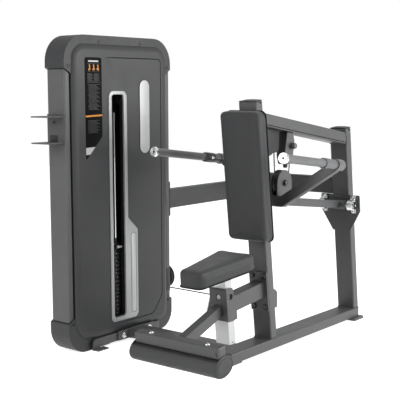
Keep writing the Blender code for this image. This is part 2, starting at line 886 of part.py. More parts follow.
def bottom_cap(name, outer, inner, end, radius_out, radius_in):
    """A corner cap: up one post, round the corner and along the floor to end."""
    step = [(outer, STEP_LOW[0]), (inner, STEP_LOW[1])]
    inside = rounded(
        [(inner, STEP_LOW[1]), (inner, cap_in_z[0]), (end, cap_in_z[0])], [0, radius_in, 0], 8
    )
    outside = rounded([(end, 0.0), (outer, 0.0), (outer, STEP_LOW[0])], [0, radius_out, 0], 10)
    return prism(
        name,
        [[step[0], *inside, *outside[:-1]]],
        cap_x[0],
        cap_x[1],
        CAP,
        bevel=0.005,
        segments=2,
    )


base_y = (0.045, 0.500)
finished(
    bottom_cap("tower_bottom_cap_front", cap_out_y[0], cap_in_y[0], base_y[0] - GAP, 0.110, 0.110)
)
finished(
    bottom_cap("tower_bottom_cap_rear", cap_out_y[1], cap_in_y[1], base_y[1] + GAP, 0.090, 0.060)
)

base_beam = block(
    "tower_base_beam", (TOWER_X[0], base_y[0], 0.0100), (0.0200, base_y[1], 0.0515), FRAME, 0.003
)
foot_plates = [
    block("foot", (-0.090, y - 0.035, 0.0), (0.0, y + 0.035, 0.0115), FRAME)
    for y in (0.115, 0.445)
]
lug_plate = prism(
    "lug",
    [
        [
            (0.0120, 0.0),
            (0.0880, 0.0),
            (0.0880, 0.0060),
            (0.0575, 0.0060),
            *circle(0.0347, 0.0300, 0.0228, 9, 0, math.pi),
        ]
    ],
    0.0180,
    0.0255,
    FRAME,
)
lug_foot = block("foot", (0.0200, 0.0150, 0.0), (0.0560, 0.0860, 0.0060), FRAME)
finished(union(base_beam, *foot_plates, lug_plate, lug_foot))

top_beam = block(
    "tower_top_beam",
    (-0.100, TOWER_Y[0] + POST_T + GAP, 1.2650),
    (-0.020, TOWER_Y[1] - POST_T - GAP, 1.3050),
    FRAME,
    0.003,
)
hang_plates = []
for low in (TOP_WHEEL.x + 0.0150, TOP_WHEEL.x - 0.0190):
    hang_plates.append(
        prism(
            "plate",
            [
                [
                    (TOP_WHEEL.y - 0.022, 1.270),
                    *circle(TOP_WHEEL.y, TOP_WHEEL.z, 0.022, 9, math.pi, math.pi),
                    (TOP_WHEEL.y + 0.022, 1.270),
                ]
            ],
            low,
            low + 0.004,
            FRAME,
        )
    )
top_axle = rod(
    "axle",
    TOP_WHEEL - Vector((0.0195, 0, 0)),
    TOP_WHEEL + Vector((0.0195, 0, 0)),
    AXLE_R,
    FRAME,
)
finished(union(top_beam, *hang_plates, top_axle))

# ---------------------------------------------------------------- tower shrouds
cover_outline = rounded(
    [
        (COVER_Y[0], COVER_Z[0]),
        (COVER_Y[1], COVER_Z[0]),
        (COVER_Y[1], COVER_Z[1]),
        (COVER_Y[0], COVER_Z[1]),
    ],
    [0.110, 0.060, 0.080, 0.080],
    8,
)
CREST = (0.0075, 0.0200)  # where the shroud's edge ends, and its raised plateau


def shroud(name, base_x, edge_x, crest_x, hollow_x):
    """A rounded panel whose middle stands proud of its edge, hollow behind."""
    inset = 0.036
    middle_y = sum(COVER_Y) / 2
    middle_z = sum(COVER_Z) / 2
    half_y = (COVER_Y[1] - COVER_Y[0]) / 2
    half_z = (COVER_Z[1] - COVER_Z[0]) / 2
    work = bmesh.new()
    rings = []
    for x, amount in (
        (base_x, 0.0),
        (edge_x, 0.0),
        (edge_x + (crest_x - edge_x) * 0.45, 0.008 / inset),
        (edge_x + (crest_x - edge_x) * 0.86, 0.021 / inset),
        (crest_x, 1.0),
    ):
        ky, kz = 1 - amount * inset / half_y, 1 - amount * inset / half_z
        rings.append(
            [
                work.verts.new((x, middle_y + (y - middle_y) * ky, middle_z + (z - middle_z) * kz))
                for y, z in cover_outline
            ]
        )
    count = len(cover_outline)
    for lower, upper in zip(rings, rings[1:]):
        for i in range(count):
            k = (i + 1) % count
            work.faces.new((lower[i], lower[k], upper[k], upper[i]))
    work.faces.new(list(reversed(rings[0])))
    work.faces.new(rings[-1])
    made = from_bmesh(name, work, COVER)
    pocket = rounded(
        [
            (COVER_Y[0] + 0.022, COVER_Z[0] + 0.022),
            (COVER_Y[1] - 0.022, COVER_Z[0] + 0.022),
            (COVER_Y[1] - 0.022, COVER_Z[1] - 0.022),
            (COVER_Y[0] + 0.022, COVER_Z[1] - 0.022),
        ],
        [0.090, 0.050, 0.060, 0.060],
        4,
    )
    low, high = sorted((hollow_x, base_x + math.copysign(0.004, base_x - edge_x)))
    cut(made, prism("pocket", [pocket], low, high, COVER))
    return made


front_cover = shroud("tower_front_cover", -0.0040, CREST[0], CREST[1], 0.0130)
window = prism(
    "window",
    [rounded(rectangle((SLOT_Y[0] - 0.004, SLOT_Y[1] + 0.004), (SLOT_Z[0] - 0.004, SLOT_Z[1] + 0.004)), 0.016, 4)],
    0.0,
    0.05,
    COVER,
)
finished(cut(front_cover, window))
finished(shroud("tower_rear_cover", -0.1155, -0.1222, -0.1300, -0.1240))

bezel_outline = rounded(
    [
        (0.1450, 0.1100),
        (0.3370, 0.1100),
        (0.3370, 0.5550),
        (0.2690, 0.6180),
        (0.2690, 1.2400),
        (0.1450, 1.2400),
    ],
    [0.026, 0.026, 0.012, 0.012, 0.030, 0.030],
    4,
)
finished(
    prism(
        "window_bezel",
        [bezel_outline, rounded(rectangle(SLOT_Y, SLOT_Z), 0.013, 4)],
        CREST[1] + GAP,
        CREST[1] + 0.0050,
        SILVER,
    )
)

bracket_x = (-0.1135, -0.0020)
bracket = block(
    "side_bracket", (bracket_x[0], -0.1250, 0.992), (bracket_x[1], TOWER_Y[0] - GAP, 1.136), FRAME, 0.001, 1
)
shelves = [
    block(
        "shelf",
        (bracket_x[0] + 0.004, -0.2290, z - 0.003),
        (bracket_x[1] - 0.004, -0.1230, z + 0.003),
        FRAME,
        0.001,
        1,
    )
    for z in (1.004, 1.124)
]
finished(union(bracket, *shelves))

# ---------------------------------------------------------------- weight stack
rods = [
    (STACK_X + ROD_OFFSET[0], STACK_Y - ROD_OFFSET[1]),
    (STACK_X - ROD_OFFSET[0], STACK_Y + ROD_OFFSET[1]),
]
for name, (x, y) in zip(("guide_rod_front", "guide_rod_rear"), rods):
    finished(rod(name, (x, y, 0.0515 + GAP), (x, y, 1.2650 - GAP), ROD_R, CHROME, 20))

stack_x = (STACK_X - STACK_HALF[0], STACK_X + STACK_HALF[0])
pitch = (STACK_Z[1] - STACK_Z[0]) / STACK_PLATES
NOTCH = 0.0025
front_side, back_side = [], []
for i in range(STACK_PLATES):
    z0, z1 = STACK_Z[0] + i * pitch, STACK_Z[0] + (i + 1) * pitch
    low = z0 + (0.001 if i else 0)
    high = z1 - (0.001 if i < STACK_PLATES - 1 else 0)
    if i:
        front_side.append((stack_x[1] - NOTCH, z0))
        back_side.append((stack_x[0] + NOTCH, z0))
    front_side += [(stack_x[1], low), (stack_x[1], high)]
    back_side += [(stack_x[0], low), (stack_x[0], high)]
stack = prism(
    "weight_stack",
    [front_side + back_side[::-1]],
    -(STACK_Y + STACK_HALF[1]),
    -(STACK_Y - STACK_HALF[1]),
    IRON,
    frame=FRONT,
)
bores = [
    rod("bore", (x, y, 0), (x, y, 0.6), ROD_R + 0.0008, IRON, 20) for x, y in rods
]
stem_bore = rod("bore", (STACK_X, STACK_Y, 0), (STACK_X, STACK_Y, 0.6), 0.0085, IRON, 16)
finished(cut(stack, *bores, stem_bore))

top_weight = block(
    "top_weight",
    (stack_x[0], STACK_Y - STACK_HALF[1], STACK_Z[1] + GAP),
    (stack_x[1], STACK_Y + STACK_HALF[1], STACK_Z[1] + TOP_WEIGHT_T),
    IRON,
    0.002,
    1,
)
bores = [
    rod("bore", (x, y, 0.4), (x, y, 0.6), ROD_R + 0.0008, IRON, 20) for x, y in rods
]
pin_bore = rod(
    "bore", (STACK_X + 0.012, STACK_Y, PIN_Z), (0.05, STACK_Y, PIN_Z), 0.0044, IRON, 12
)
cut(top_weight, *bores, pin_bore)
stem = rod("stem", (STACK_X, STACK_Y, 0.0700), (STACK_X, STACK_Y, 0.4600), 0.0075, IRON, 16)
clevis = rod("clevis", (STACK_X, STACK_Y, 0.4800), (STACK_X, STACK_Y, 0.5200), 0.0120, IRON, 16)
finished(union(top_weight, stem, clevis), origin=(STACK_X, STACK_Y, STACK_Z[1]))

pin = rod(
    "selector_pin", (STACK_X + 0.0135, STACK_Y, PIN_Z), (0.0, STACK_Y, PIN_Z), 0.0040, CHROME, 12
)
pin_grip = rod(
    "grip", (0.0, STACK_Y - 0.0155, PIN_Z), (0.0, STACK_Y + 0.0155, PIN_Z), 0.0060, CHROME, 16
)
finished(union(pin, pin_grip), origin=(STACK_X, STACK_Y, PIN_Z))

# ---------------------------------------------------------------- seat
seat_post = lean_box(
    "seat_post",
    (MID_X - SEAT_POST_W / 2, MID_X + SEAT_POST_W / 2),
    SEAT_POST_Y0,
    (0.100, 0.4150),
    CHROME,
    0.004,
)
seat_frame = axes((1, 0, 0), LEAN_REAR, LEAN_UP, (MID_X, 0, SEAT_TOP_Z))
seat_plate = prism(
    "plate",
    [rounded(rectangle((-0.060, 0.060), (0.045, 0.262)), 0.012, 3)],
    -SEAT_T - 0.0065,
    -SEAT_T - GAP,
    CHROME,
    frame=seat_frame,
)
seat_origin = (MID_X, lean_y(0.250, 0.286), 0.286)
finished(union(seat_post, seat_plate), origin=seat_origin)
finished(
    prism(
        "seat_pad",
        [
            rounded(
                [(-0.060, -0.040), (0.060, -0.040), (0.104, 0.306), (-0.104, 0.306)],
                [0.026, 0.026, 0.034, 0.034],
                4,
            )
        ],
        -SEAT_T,
        0.0,
        PAD,
        frame=seat_frame,
        bevel=0.012,
        segments=1,
    ),
    origin=seat_origin,
)

LEVER_AT = Vector((0.6127, 0.1950, 0.300))
lever_hub = rod(
    "seat_lever", LEVER_AT, LEVER_AT - Vector((0.012, 0, 0)), 0.011, CHROME, 16
)
PADDLE_TILT = math.radians(14)
paddle_frame = axes(
    (math.cos(PADDLE_TILT), 0, -math.sin(PADDLE_TILT)),
    (0, 1, 0),
    (math.sin(PADDLE_TILT), 0, math.cos(PADDLE_TILT)),
    LEVER_AT - Vector((0.0105, 0, 0)),
)
paddle = block(
    "paddle", (-0.0030, -0.0180, -0.0640), (0.0030, 0.0180, 0.0200), CHROME, 0.0022, 2, paddle_frame
)
finished(union(lever_hub, paddle), origin=LEVER_AT)

# ---------------------------------------------------------------- back rest
finished(
    lean_box("back_pad", (0.5540, 0.7660), (0.445, 0.5150), (0.550, 1.145), PAD, 0.018, 2)
)
finished(
    lean_box(
        "back_board", (0.5740, 0.7460), (0.5153, FRONT_COLUMN_Y0 - GAP), (0.572, 1.123), BOARD
    )
)

# ---------------------------------------------------------------- movement arm
ARM_U = Vector((0, math.cos(ARM_REST), -math.sin(ARM_REST)))
ARM_V = Vector((0, math.sin(ARM_REST), math.cos(ARM_REST)))
arm_frame = axes((1, 0, 0), ARM_U, ARM_V, PIVOT)


def on_arm(x, u, v):
    return arm_frame @ Vector((x, u, v))


arm_tube = block(
    "arm_tube",
    (-ARM_TUBE_W / 2, YOKE_U[1] + GAP, -ARM_TUBE_H / 2),
    (ARM_TUBE_W / 2, 0.0, ARM_TUBE_H / 2),
    FRAME,
    bevel=0.005,
    frame=arm_frame,
)
boss = rod("boss", PIVOT - Vector((0.056, 0, 0)), PIVOT + Vector((0.056, 0, 0)), 0.025, FRAME, 24)
union(arm_tube, boss)
bore = rod("bore", PIVOT - Vector((0.1, 0, 0)), PIVOT + Vector((0.1, 0, 0)), SHAFT_R + GAP, FRAME, 20)
cut(arm_tube, bore)
fork = []
for low in (MID_X + PULLEY_W / 2 + 0.003, MID_X - PULLEY_W / 2 - 0.008):
    outline = [
        (ARM_WHEEL.y - 0.0625, 0.718),
        (ARM_WHEEL.y + 0.0625, 0.703),
        *circle(ARM_WHEEL.y, ARM_WHEEL.z, 0.0625, 13, 0, math.pi),
    ]
    fork.append(prism("plate", [outline], low, low + 0.005, FRAME))
arm_axle = rod(
    "axle", ARM_WHEEL - Vector((0.022, 0, 0)), ARM_WHEEL + Vector((0.022, 0, 0)), AXLE_R, FRAME
)
axle_heads = [
    rod(
        "head",
        ARM_WHEEL + Vector((s * 0.019, 0, 0)),
        ARM_WHEEL + Vector((s * 0.029, 0, 0)),
        0.012,
        FRAME,
        12,
    )
    for s in (-1, 1)
]
union(arm_tube, *fork, arm_axle, *axle_heads)
yoke_room = block(
    "room",
    (-0.060, YOKE_U[0] - 0.010, -0.040),
    (0.060, YOKE_U[1] + GAP, 0.025 + GAP),
    FRAME,
    frame=arm_frame,
)
finished(cut(arm_tube, yoke_room), origin=PIVOT)

finished(
    rod("pivot_shaft", PIVOT - Vector((0.108, 0, 0)), PIVOT + Vector((0.108, 0, 0)), SHAFT_R, CHROME, 20),
    origin=PIVOT,
)

half = [(0.0503, -0.025), (0.320, 0.1562), (0.338, 0.172), (0.330, 0.1955), (0.290, 0.1955), (0.0363, 0.025)]
yoke_outline = half + [(-x, v) for x, v in reversed(half)]
yoke_plane = axes((1, 0, 0), ARM_V, -ARM_U, PIVOT)
yoke = prism(
    "arm_yoke", [yoke_outline], -YOKE_U[1], -YOKE_U[0], FRAME, frame=yoke_plane, bevel=0.004
)


def handle_points(side):
    rear = on_arm(side * HANDLE_REAR[0], HANDLE_REAR[1], HANDLE_V)
    front = on_arm(side * HANDLE_FRONT[0], HANDLE_FRONT[1], HANDLE_V)
    return rear, (front - rear).normalized(), (front - rear).length


def handle_frame(side):
    """Z runs from the handle's rear end to its front."""
    rear, ahead, _ = handle_points(side)
    across = Vector((1, 0, 0)) - ahead * ahead.x
    across.normalize()
    return axes(across, ahead.cross(across), ahead, rear)


COLLAR_END, LOCK = 0.064, (0.115, 0.175)
for side in (-1, 1):
    socket = turned(
        "socket",
        [
            (0, LOCK[1]),
            (SLEEVE_R, LOCK[1]),
            (SLEEVE_R, COLLAR_END),
            (COLLAR_R, COLLAR_END),
            (COLLAR_R, 0.0),
            (0, 0.0),
        ],
        FRAME,
        handle_frame(side),
    )
    union(yoke, socket)
    frame = handle_frame(side)
    clamp = rod(
        "clamp",
        frame @ Vector((-side * 0.005, 0, LOCK[0])),
        frame @ Vector((-side * 0.005, 0, LOCK[1] - 0.003)),
        0.0235,
        FRAME,
        28,
    )
    union(yoke, clamp)
    knob = rod(
        "knob",
        frame @ Vector((-side * 0.020, 0, 0.145)),
        frame @ Vector((-side * 0.036, 0, 0.145)),
        0.0075,
        FRAME,
        12,
    )
    union(yoke, knob)
    hollow = rod(
        "bore",
        frame @ Vector((0, 0, 0.030)),
        frame @ Vector((0, 0, 0.30)),
        GRIP_R + GAP,
        FRAME,
    )
    cut(yoke, hollow)
finished(yoke, origin=PIVOT)

for side, name in ((-1, "right"), (1, "left")):
    rear, ahead, length = handle_points(side)
    frame = handle_frame(side)
    tail, head = 0.0310, length - 0.0140
    grip = turned(
        "handle_" + name,
        [
            (0, head),
            (GRIP_R - 0.001, head),
            (GRIP_R, head - 0.001),
            (GRIP_R, tail + 0.001),
            (GRIP_R - 0.001, tail),
            (0, tail),
        ],
        FRAME,
        frame,
    )
    finished(grip, origin=rear)
    end = length - 0.0140 + GAP
    cap = turned(
        "handle_cap_" + name,
        [
            (0, end + 0.0125),
            (0.0060, end + 0.0125),
            (0.0070, end + 0.0115),
            (0.0110, end + 0.0115),
            (0.0120, end + 0.0137),
            (CAP_R - 0.003, end + 0.0137),
            (CAP_R, end + 0.0107),
            (CAP_R, end + 0.0015),
            (CAP_R - 0.0015, end),
            (0, end),
        ],
        CHROME,
        frame,
    )
    finished(cap, origin=rear)

# ---------------------------------------------------------------- pulleys
WHEEL = [
    (PULLEY_R, 0.0120),
    (PULLEY_R, 0.0090),
    (PULLEY_GROOVE, 0.0035),
    (PULLEY_GROOVE, -0.0035),
    (PULLEY_R, -0.0090),
    (PULLEY_R, -0.0120),
    (0.0490, -0.0120),
    (0.0460, -0.0070),
    (PULLEY_BORE, -0.0070),
    (PULLEY_BORE, 0.0070),
    (0.0460, 0.0070),
    (0.0490, 0.0120),
]
ACROSS_X = axes((0, 1, 0), (0, 0, 1), (1, 0, 0))
ACROSS_Y = axes((0, 0, 1), (1, 0, 0), (0, 1, 0))
for name, middle, facing in (
    ("arm_pulley", ARM_WHEEL, ACROSS_X),
    ("upper_pulley", UPPER_WHEEL, ACROSS_X),
    ("redirect_pulley", REDIRECT_WHEEL, ACROSS_Y),
    ("tower_side_pulley", SIDE_WHEEL, ACROSS_Y),
    ("tower_corner_pulley", CORNER_WHEEL, ACROSS_X),
    ("tower_top_pulley", TOP_WHEEL, ACROSS_X),
):
    wheel = turned(
        name, WHEEL, BLACK, Matrix.Translation(middle) @ facing, steps=20, closed=True
    )
    finished(wheel, origin=middle)


# ---------------------------------------------------------------- cables
def wrap(middle, first, second, start, end, step=12):
    """Points round a wheel from one angle to another, in the plane of two directions."""
    first, second = Vector(first), Vector(second)
    count = max(2, round(abs(end - start) / step) + 1)
    made = []
    for i in range(count):
        a = math.radians(start + (end - start) * i / (count - 1))
        made.append(middle + CABLE_PITCH * (math.cos(a) * first + math.sin(a) * second))
    return made


Y_, Z_, X_ = (0, 1, 0), (0, 0, 1), (1, 0, 0)
run = wrap(UPPER_WHEEL, Y_, Z_, 2, 186)
run += wrap(REDIRECT_WHEEL, X_, Z_, 0, -90)
run += wrap(SIDE_WHEEL, X_, Z_, -90, -180)
run += wrap(CORNER_WHEEL, Y_, Z_, 0, 90)
run += wrap(TOP_WHEEL, Y_, Z_, 90, 178)
finished(tube_along("cable_run", run, CABLE_R, CABLE))

front_top, rear_top = run[0], ANCHOR - Vector((0, 0, 0.006))
loop = wrap(ARM_WHEEL, Y_, Z_, -178, -3)
loop_front, loop_rear = loop[0], loop[-1]
finished(tube_along("cable_arm_loop", loop, CABLE_R, CABLE), origin=PIVOT)


def strand(name, low, high):
    """A straight run of cable, clear of what it meets by the gap at each end."""
    step = (high - low).normalized() * 0.0006
    finished(tube_along(name, [low + step, high - step], CABLE_R, CABLE))


strand("cable_front_strand", loop_front, front_top)
strand("cable_rear_strand", loop_rear, rear_top)
strand("cable_stack_strand", Vector((STACK_X, STACK_Y, 0.5200)), run[-1])
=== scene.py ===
"""Looks of the seated dip machine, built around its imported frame."""

import json
import math

import bmesh
import bpy
import numpy as np
from mathutils import Matrix, Vector, noise


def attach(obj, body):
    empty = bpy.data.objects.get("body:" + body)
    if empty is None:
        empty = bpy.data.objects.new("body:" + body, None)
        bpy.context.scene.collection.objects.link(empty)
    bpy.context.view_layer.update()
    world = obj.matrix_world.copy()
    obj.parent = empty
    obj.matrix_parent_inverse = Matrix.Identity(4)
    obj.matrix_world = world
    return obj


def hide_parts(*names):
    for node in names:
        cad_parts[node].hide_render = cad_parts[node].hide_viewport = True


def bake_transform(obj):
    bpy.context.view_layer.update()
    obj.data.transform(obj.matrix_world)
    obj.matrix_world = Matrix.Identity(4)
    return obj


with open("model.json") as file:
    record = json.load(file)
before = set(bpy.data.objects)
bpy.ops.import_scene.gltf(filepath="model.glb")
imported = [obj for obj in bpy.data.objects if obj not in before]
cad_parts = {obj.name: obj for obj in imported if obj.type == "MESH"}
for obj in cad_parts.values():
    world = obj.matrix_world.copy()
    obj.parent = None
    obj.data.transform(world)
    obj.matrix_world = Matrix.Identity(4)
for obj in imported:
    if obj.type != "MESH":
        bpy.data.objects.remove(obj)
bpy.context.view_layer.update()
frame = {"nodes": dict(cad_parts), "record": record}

NODES = frame["nodes"]

# Machine coordinates, as in the part's source: X = 0 is the tower's front plane, Z = 0 the floor.
CENTRE = Vector((0.4554, 0.5805, 0.0))
SHIFT = Matrix.Translation(-CENTRE)
MID_X = 0.661
LEAN = 0.1175
TILT = math.atan(LEAN)
LEAN_UP = Vector((0, -math.sin(TILT), math.cos(TILT)))
LEAN_REAR = Vector((0, math.cos(TILT), math.sin(TILT)))


def lean_y(y0, z):
    return y0 - LEAN * z


scene = bpy.context.scene

# ---------------------------------------------------------------- camera
YAW, PITCH, ROLL = math.radians(38.559), math.radians(6.738), math.radians(-0.2056)
look = Vector((-math.sin(YAW) * math.cos(PITCH), math.cos(YAW) * math.cos(PITCH), -math.sin(PITCH)))
across = Vector((math.cos(YAW), math.sin(YAW), 0))
upward = across.cross(look)
right = math.cos(ROLL) * across + math.sin(ROLL) * upward
upper = -math.sin(ROLL) * across + math.cos(ROLL) * upward
camera = bpy.data.objects.new("camera", bpy.data.cameras.new("camera"))
scene.collection.objects.link(camera)
camera.matrix_world = Matrix.Translation(Vector((3.117, -3.0414, 1.238)) - CENTRE) @ (
    Matrix((right, upper, -look)).transposed().to_4x4()
)
camera.data.lens = 82.96
camera.data.sensor_width = 36
camera.data.clip_end = 60
scene.camera = camera

# ---------------------------------------------------------------- studio
scene.view_settings.view_transform = "Standard"
scene.view_settings.look = "None"


def nodes_of(made):
    made.use_nodes = True
    return made.node_tree.nodes, made.node_tree.links


world = bpy.data.worlds.new("studio")
scene.world = world
n, l = nodes_of(world)
n.clear()
out = n.new("ShaderNodeOutputWorld")
seen = n.new("ShaderNodeBackground")
seen.inputs["Color"].default_value = (1, 1, 1, 1)
seen.inputs["Strength"].default_value = 1.0
lit = n.new("ShaderNodeBackground")
lit.inputs["Strength"].default_value = 1.0
where = n.new("ShaderNodeTexCoord")
apart = n.new("ShaderNodeSeparateXYZ")
l.new(where.outputs["Generated"], apart.inputs[0])
turn = n.new("ShaderNodeVectorMath")
turn.operation = "DOT_PRODUCT"
turn.inputs[1].default_value = (0.75, 0.66, 0.0)
l.new(where.outputs["Generated"], turn.inputs[0])
ramp = n.new("ShaderNodeMapRange")
ramp.inputs["From Min"].default_value = -0.9
ramp.inputs["From Max"].default_value = 0.9
ramp.inputs["To Min"].default_value = 0.44
ramp.inputs["To Max"].default_value = 0.70
l.new(turn.outputs["Value"], ramp.inputs["Value"])
dim_side = n.new("ShaderNodeVectorMath")
dim_side.operation = "DOT_PRODUCT"
dim_side.inputs[1].default_value = (-0.62, 0.78, 0.0)
l.new(where.outputs["Generated"], dim_side.inputs[0])
dimmed = n.new("ShaderNodeMapRange")
dimmed.inputs["From Min"].default_value = -1.0
dimmed.inputs["From Max"].default_value = 0.1
dimmed.inputs["To Min"].default_value = 0.62
dimmed.inputs["To Max"].default_value = 1.0
l.new(dim_side.outputs["Value"], dimmed.inputs["Value"])
both = n.new("ShaderNodeMath")
both.operation = "MULTIPLY"
l.new(ramp.outputs[0], both.inputs[0])
l.new(dimmed.outputs[0], both.inputs[1])
path = n.new("ShaderNodeLightPath")
gloss = n.new("ShaderNodeMath")
gloss.operation = "MULTIPLY_ADD"
gloss.inputs[1].default_value = 0.22
l.new(path.outputs["Is Glossy Ray"], gloss.inputs[0])
l.new(where.outputs["Generated"], apart.inputs[0])
low_side = n.new("ShaderNodeMapRange")
low_side.inputs["From Min"].default_value = -0.8
low_side.inputs["From Max"].default_value = 0.1
low_side.inputs["To Min"].default_value = 0.45
low_side.inputs["To Max"].default_value = 1.0
l.new(apart.outputs["Z"], low_side.inputs["Value"])
graded = n.new("ShaderNodeMath")
graded.operation = "MULTIPLY"
l.new(both.outputs[0], graded.inputs[0])
l.new(low_side.outputs[0], graded.inputs[1])
l.new(graded.outputs[0], gloss.inputs[2])
l.new(gloss.outputs[0], lit.inputs["Strength"])
mix = n.new("ShaderNodeMixShader")
l.new(path.outputs["Is Camera Ray"], mix.inputs[0])
l.new(lit.outputs[0], mix.inputs[1])
l.new(seen.outputs[0], mix.inputs[2])
l.new(mix.outputs[0], out.inputs["Surface"])


def softbox(name, at, target, size, power, colour=(1, 1, 1)):
    lamp = bpy.data.lights.new(name, "AREA")
    lamp.shape = "RECTANGLE"
    lamp.size, lamp.size_y = size
    lamp.energy = power
    lamp.color = colour
    obj = bpy.data.objects.new(name, lamp)
    scene.collection.objects.link(obj)
    obj.location = Vector(at) - CENTRE
    obj.rotation_mode = "QUATERNION"
    obj.rotation_quaternion = (Vector(target) - Vector(at)).to_track_quat("-Z", "Y")
    obj.visible_camera = False
    return obj


softbox("key_right", (3.9, 2.2, 1.7), (0.4, 0.5, 0.7), (3.0, 2.4), 120)
softbox("fill_front", (0.2, -3.6, 1.9), (0.4, 0.4, 0.6), (3.2, 2.6), 78)
softbox("top", (0.6, 0.2, 4.2), (0.5, 0.5, 0.0), (4.5, 4.5), 26)

work = bmesh.new()
bmesh.ops.create_grid(work, x_segments=8, y_segments=8, size=9)
floor_mesh = bpy.data.meshes.new("studio_floor")
work.to_mesh(floor_mesh)
work.free()
floor = bpy.data.objects.new("studio_floor", floor_mesh)
scene.collection.objects.link(floor)
floor.location = (0, 0, -0.0005)
floor.visible_diffuse = False

# ---------------------------------------------------------------- materials


def shader_material(name, colour, roughness, metallic=0.0, **sockets):
    made = bpy.data.materials.new(name)
    n, l = nodes_of(made)
    shader = n["Principled BSDF"]
    shader.inputs["Base Color"].default_value = (*colour, 1)
    shader.inputs["Roughness"].default_value = roughness
    shader.inputs["Metallic"].default_value = metallic
    for key, value in sockets.items():
        shader.inputs[key.replace("_", " ")].default_value = value
    return made, n, l, shader


def place_node(n, l, kind="Object"):
    return n.new("ShaderNodeTexCoord").outputs[kind]


def noise_node(n, l, vector, scale, detail=3.0, rough=0.55):
    made = n.new("ShaderNodeTexNoise")
    made.inputs["Scale"].default_value = scale
    made.inputs["Detail"].default_value = detail
    made.inputs["Roughness"].default_value = rough
    l.new(vector, made.inputs["Vector"])
    return made.outputs["Fac"]


def ramp_node(n, l, value, stops):
    made = n.new("ShaderNodeValToRGB")
    ramp = made.color_ramp
    while len(ramp.elements) < len(stops):
        ramp.elements.new(0.5)
    for element, (at, colour) in zip(ramp.elements, stops):
        element.position = at
        element.color = (*colour, 1) if len(colour) == 3 else colour
    l.new(value, made.inputs["Fac"])
    return made.outputs["Color"]


def range_node(n, l, value, low, high, start=0.0, end=1.0):
    made = n.new("ShaderNodeMapRange")
    made.inputs["From Min"].default_value = start
    made.inputs["From Max"].default_value = end
    made.inputs["To Min"].default_value = low
    made.inputs["To Max"].default_value = high
    l.new(value, made.inputs["Value"])
    return made.outputs[0]


def math_node(n, l, kind, a, b):
    made = n.new("ShaderNodeMath")
    made.operation = kind
    for socket, value in zip(made.inputs, (a, b)):
        if isinstance(value, (int, float)):
            socket.default_value = value
        else:
            l.new(value, socket)
    return made.outputs[0]


def bump_node(n, l, height, strength, distance, normal=None):
    made = n.new("ShaderNodeBump")
    made.inputs["Strength"].default_value = strength
    made.inputs["Distance"].default_value = distance
    l.new(height, made.inputs["Height"])
    if normal is not None:
        l.new(normal, made.inputs["Normal"])
    return made.outputs[0]


def shade(colour, factor):
    return tuple(c * factor for c in colour)


def powder_coat(name, colour, rough=(0.36, 0.5), fleck=0.3, metallic=0.0, grain=900.0, coat=0.0):
    """Baked paint: a fine orange-peel skin, faint clouds of tone and tiny brighter flecks."""
    made, n, l, shader = shader_material(name, colour, sum(rough) / 2, metallic)
    shader.inputs["Coat Weight"].default_value = coat
    shader.inputs["Coat Roughness"].default_value = 0.25
    where = place_node(n, l)
    cloud = noise_node(n, l, where, 7.0, 4.0)
    fine = noise_node(n, l, where, grain, 2.0)
    tone = ramp_node(n, l, cloud, [(0.3, shade(colour, 0.90)), (0.7, shade(colour, 1.08))])
    spark = ramp_node(n, l, fine, [(0.58, (0, 0, 0)), (0.72, (fleck, fleck, fleck * 1.02))])
    mixed = n.new("ShaderNodeMix")
    mixed.data_type = "RGBA"
    mixed.blend_type = "SCREEN"
    mixed.inputs[0].default_value = 0.12
    l.new(tone, mixed.inputs[6])
    l.new(spark, mixed.inputs[7])
    l.new(mixed.outputs[2], shader.inputs["Base Color"])
    l.new(range_node(n, l, cloud, rough[0], rough[1], 0.3, 0.7), shader.inputs["Roughness"])
    l.new(bump_node(n, l, fine, 0.22, 0.0002), shader.inputs["Normal"])
    return made


def moulded(name, colour, rough=(0.45, 0.58), grain=1400.0, depth=0.0002):
    """Moulded plastic with a fine spark-eroded texture."""
    made, n, l, shader = shader_material(name, colour, sum(rough) / 2)
    where = place_node(n, l)
    cloud = noise_node(n, l, where, 9.0, 3.0)
    cells = n.new("ShaderNodeTexVoronoi")
    cells.inputs["Scale"].default_value = grain
    l.new(where, cells.inputs["Vector"])
    l.new(ramp_node(n, l, cloud, [(0.3, shade(colour, 0.92)), (0.7, shade(colour, 1.07))]), shader.inputs["Base Color"])
    l.new(range_node(n, l, cloud, rough[0], rough[1], 0.3, 0.7), shader.inputs["Roughness"])
    l.new(bump_node(n, l, cells.outputs["Distance"], 0.25, depth), shader.inputs["Normal"])
    return made


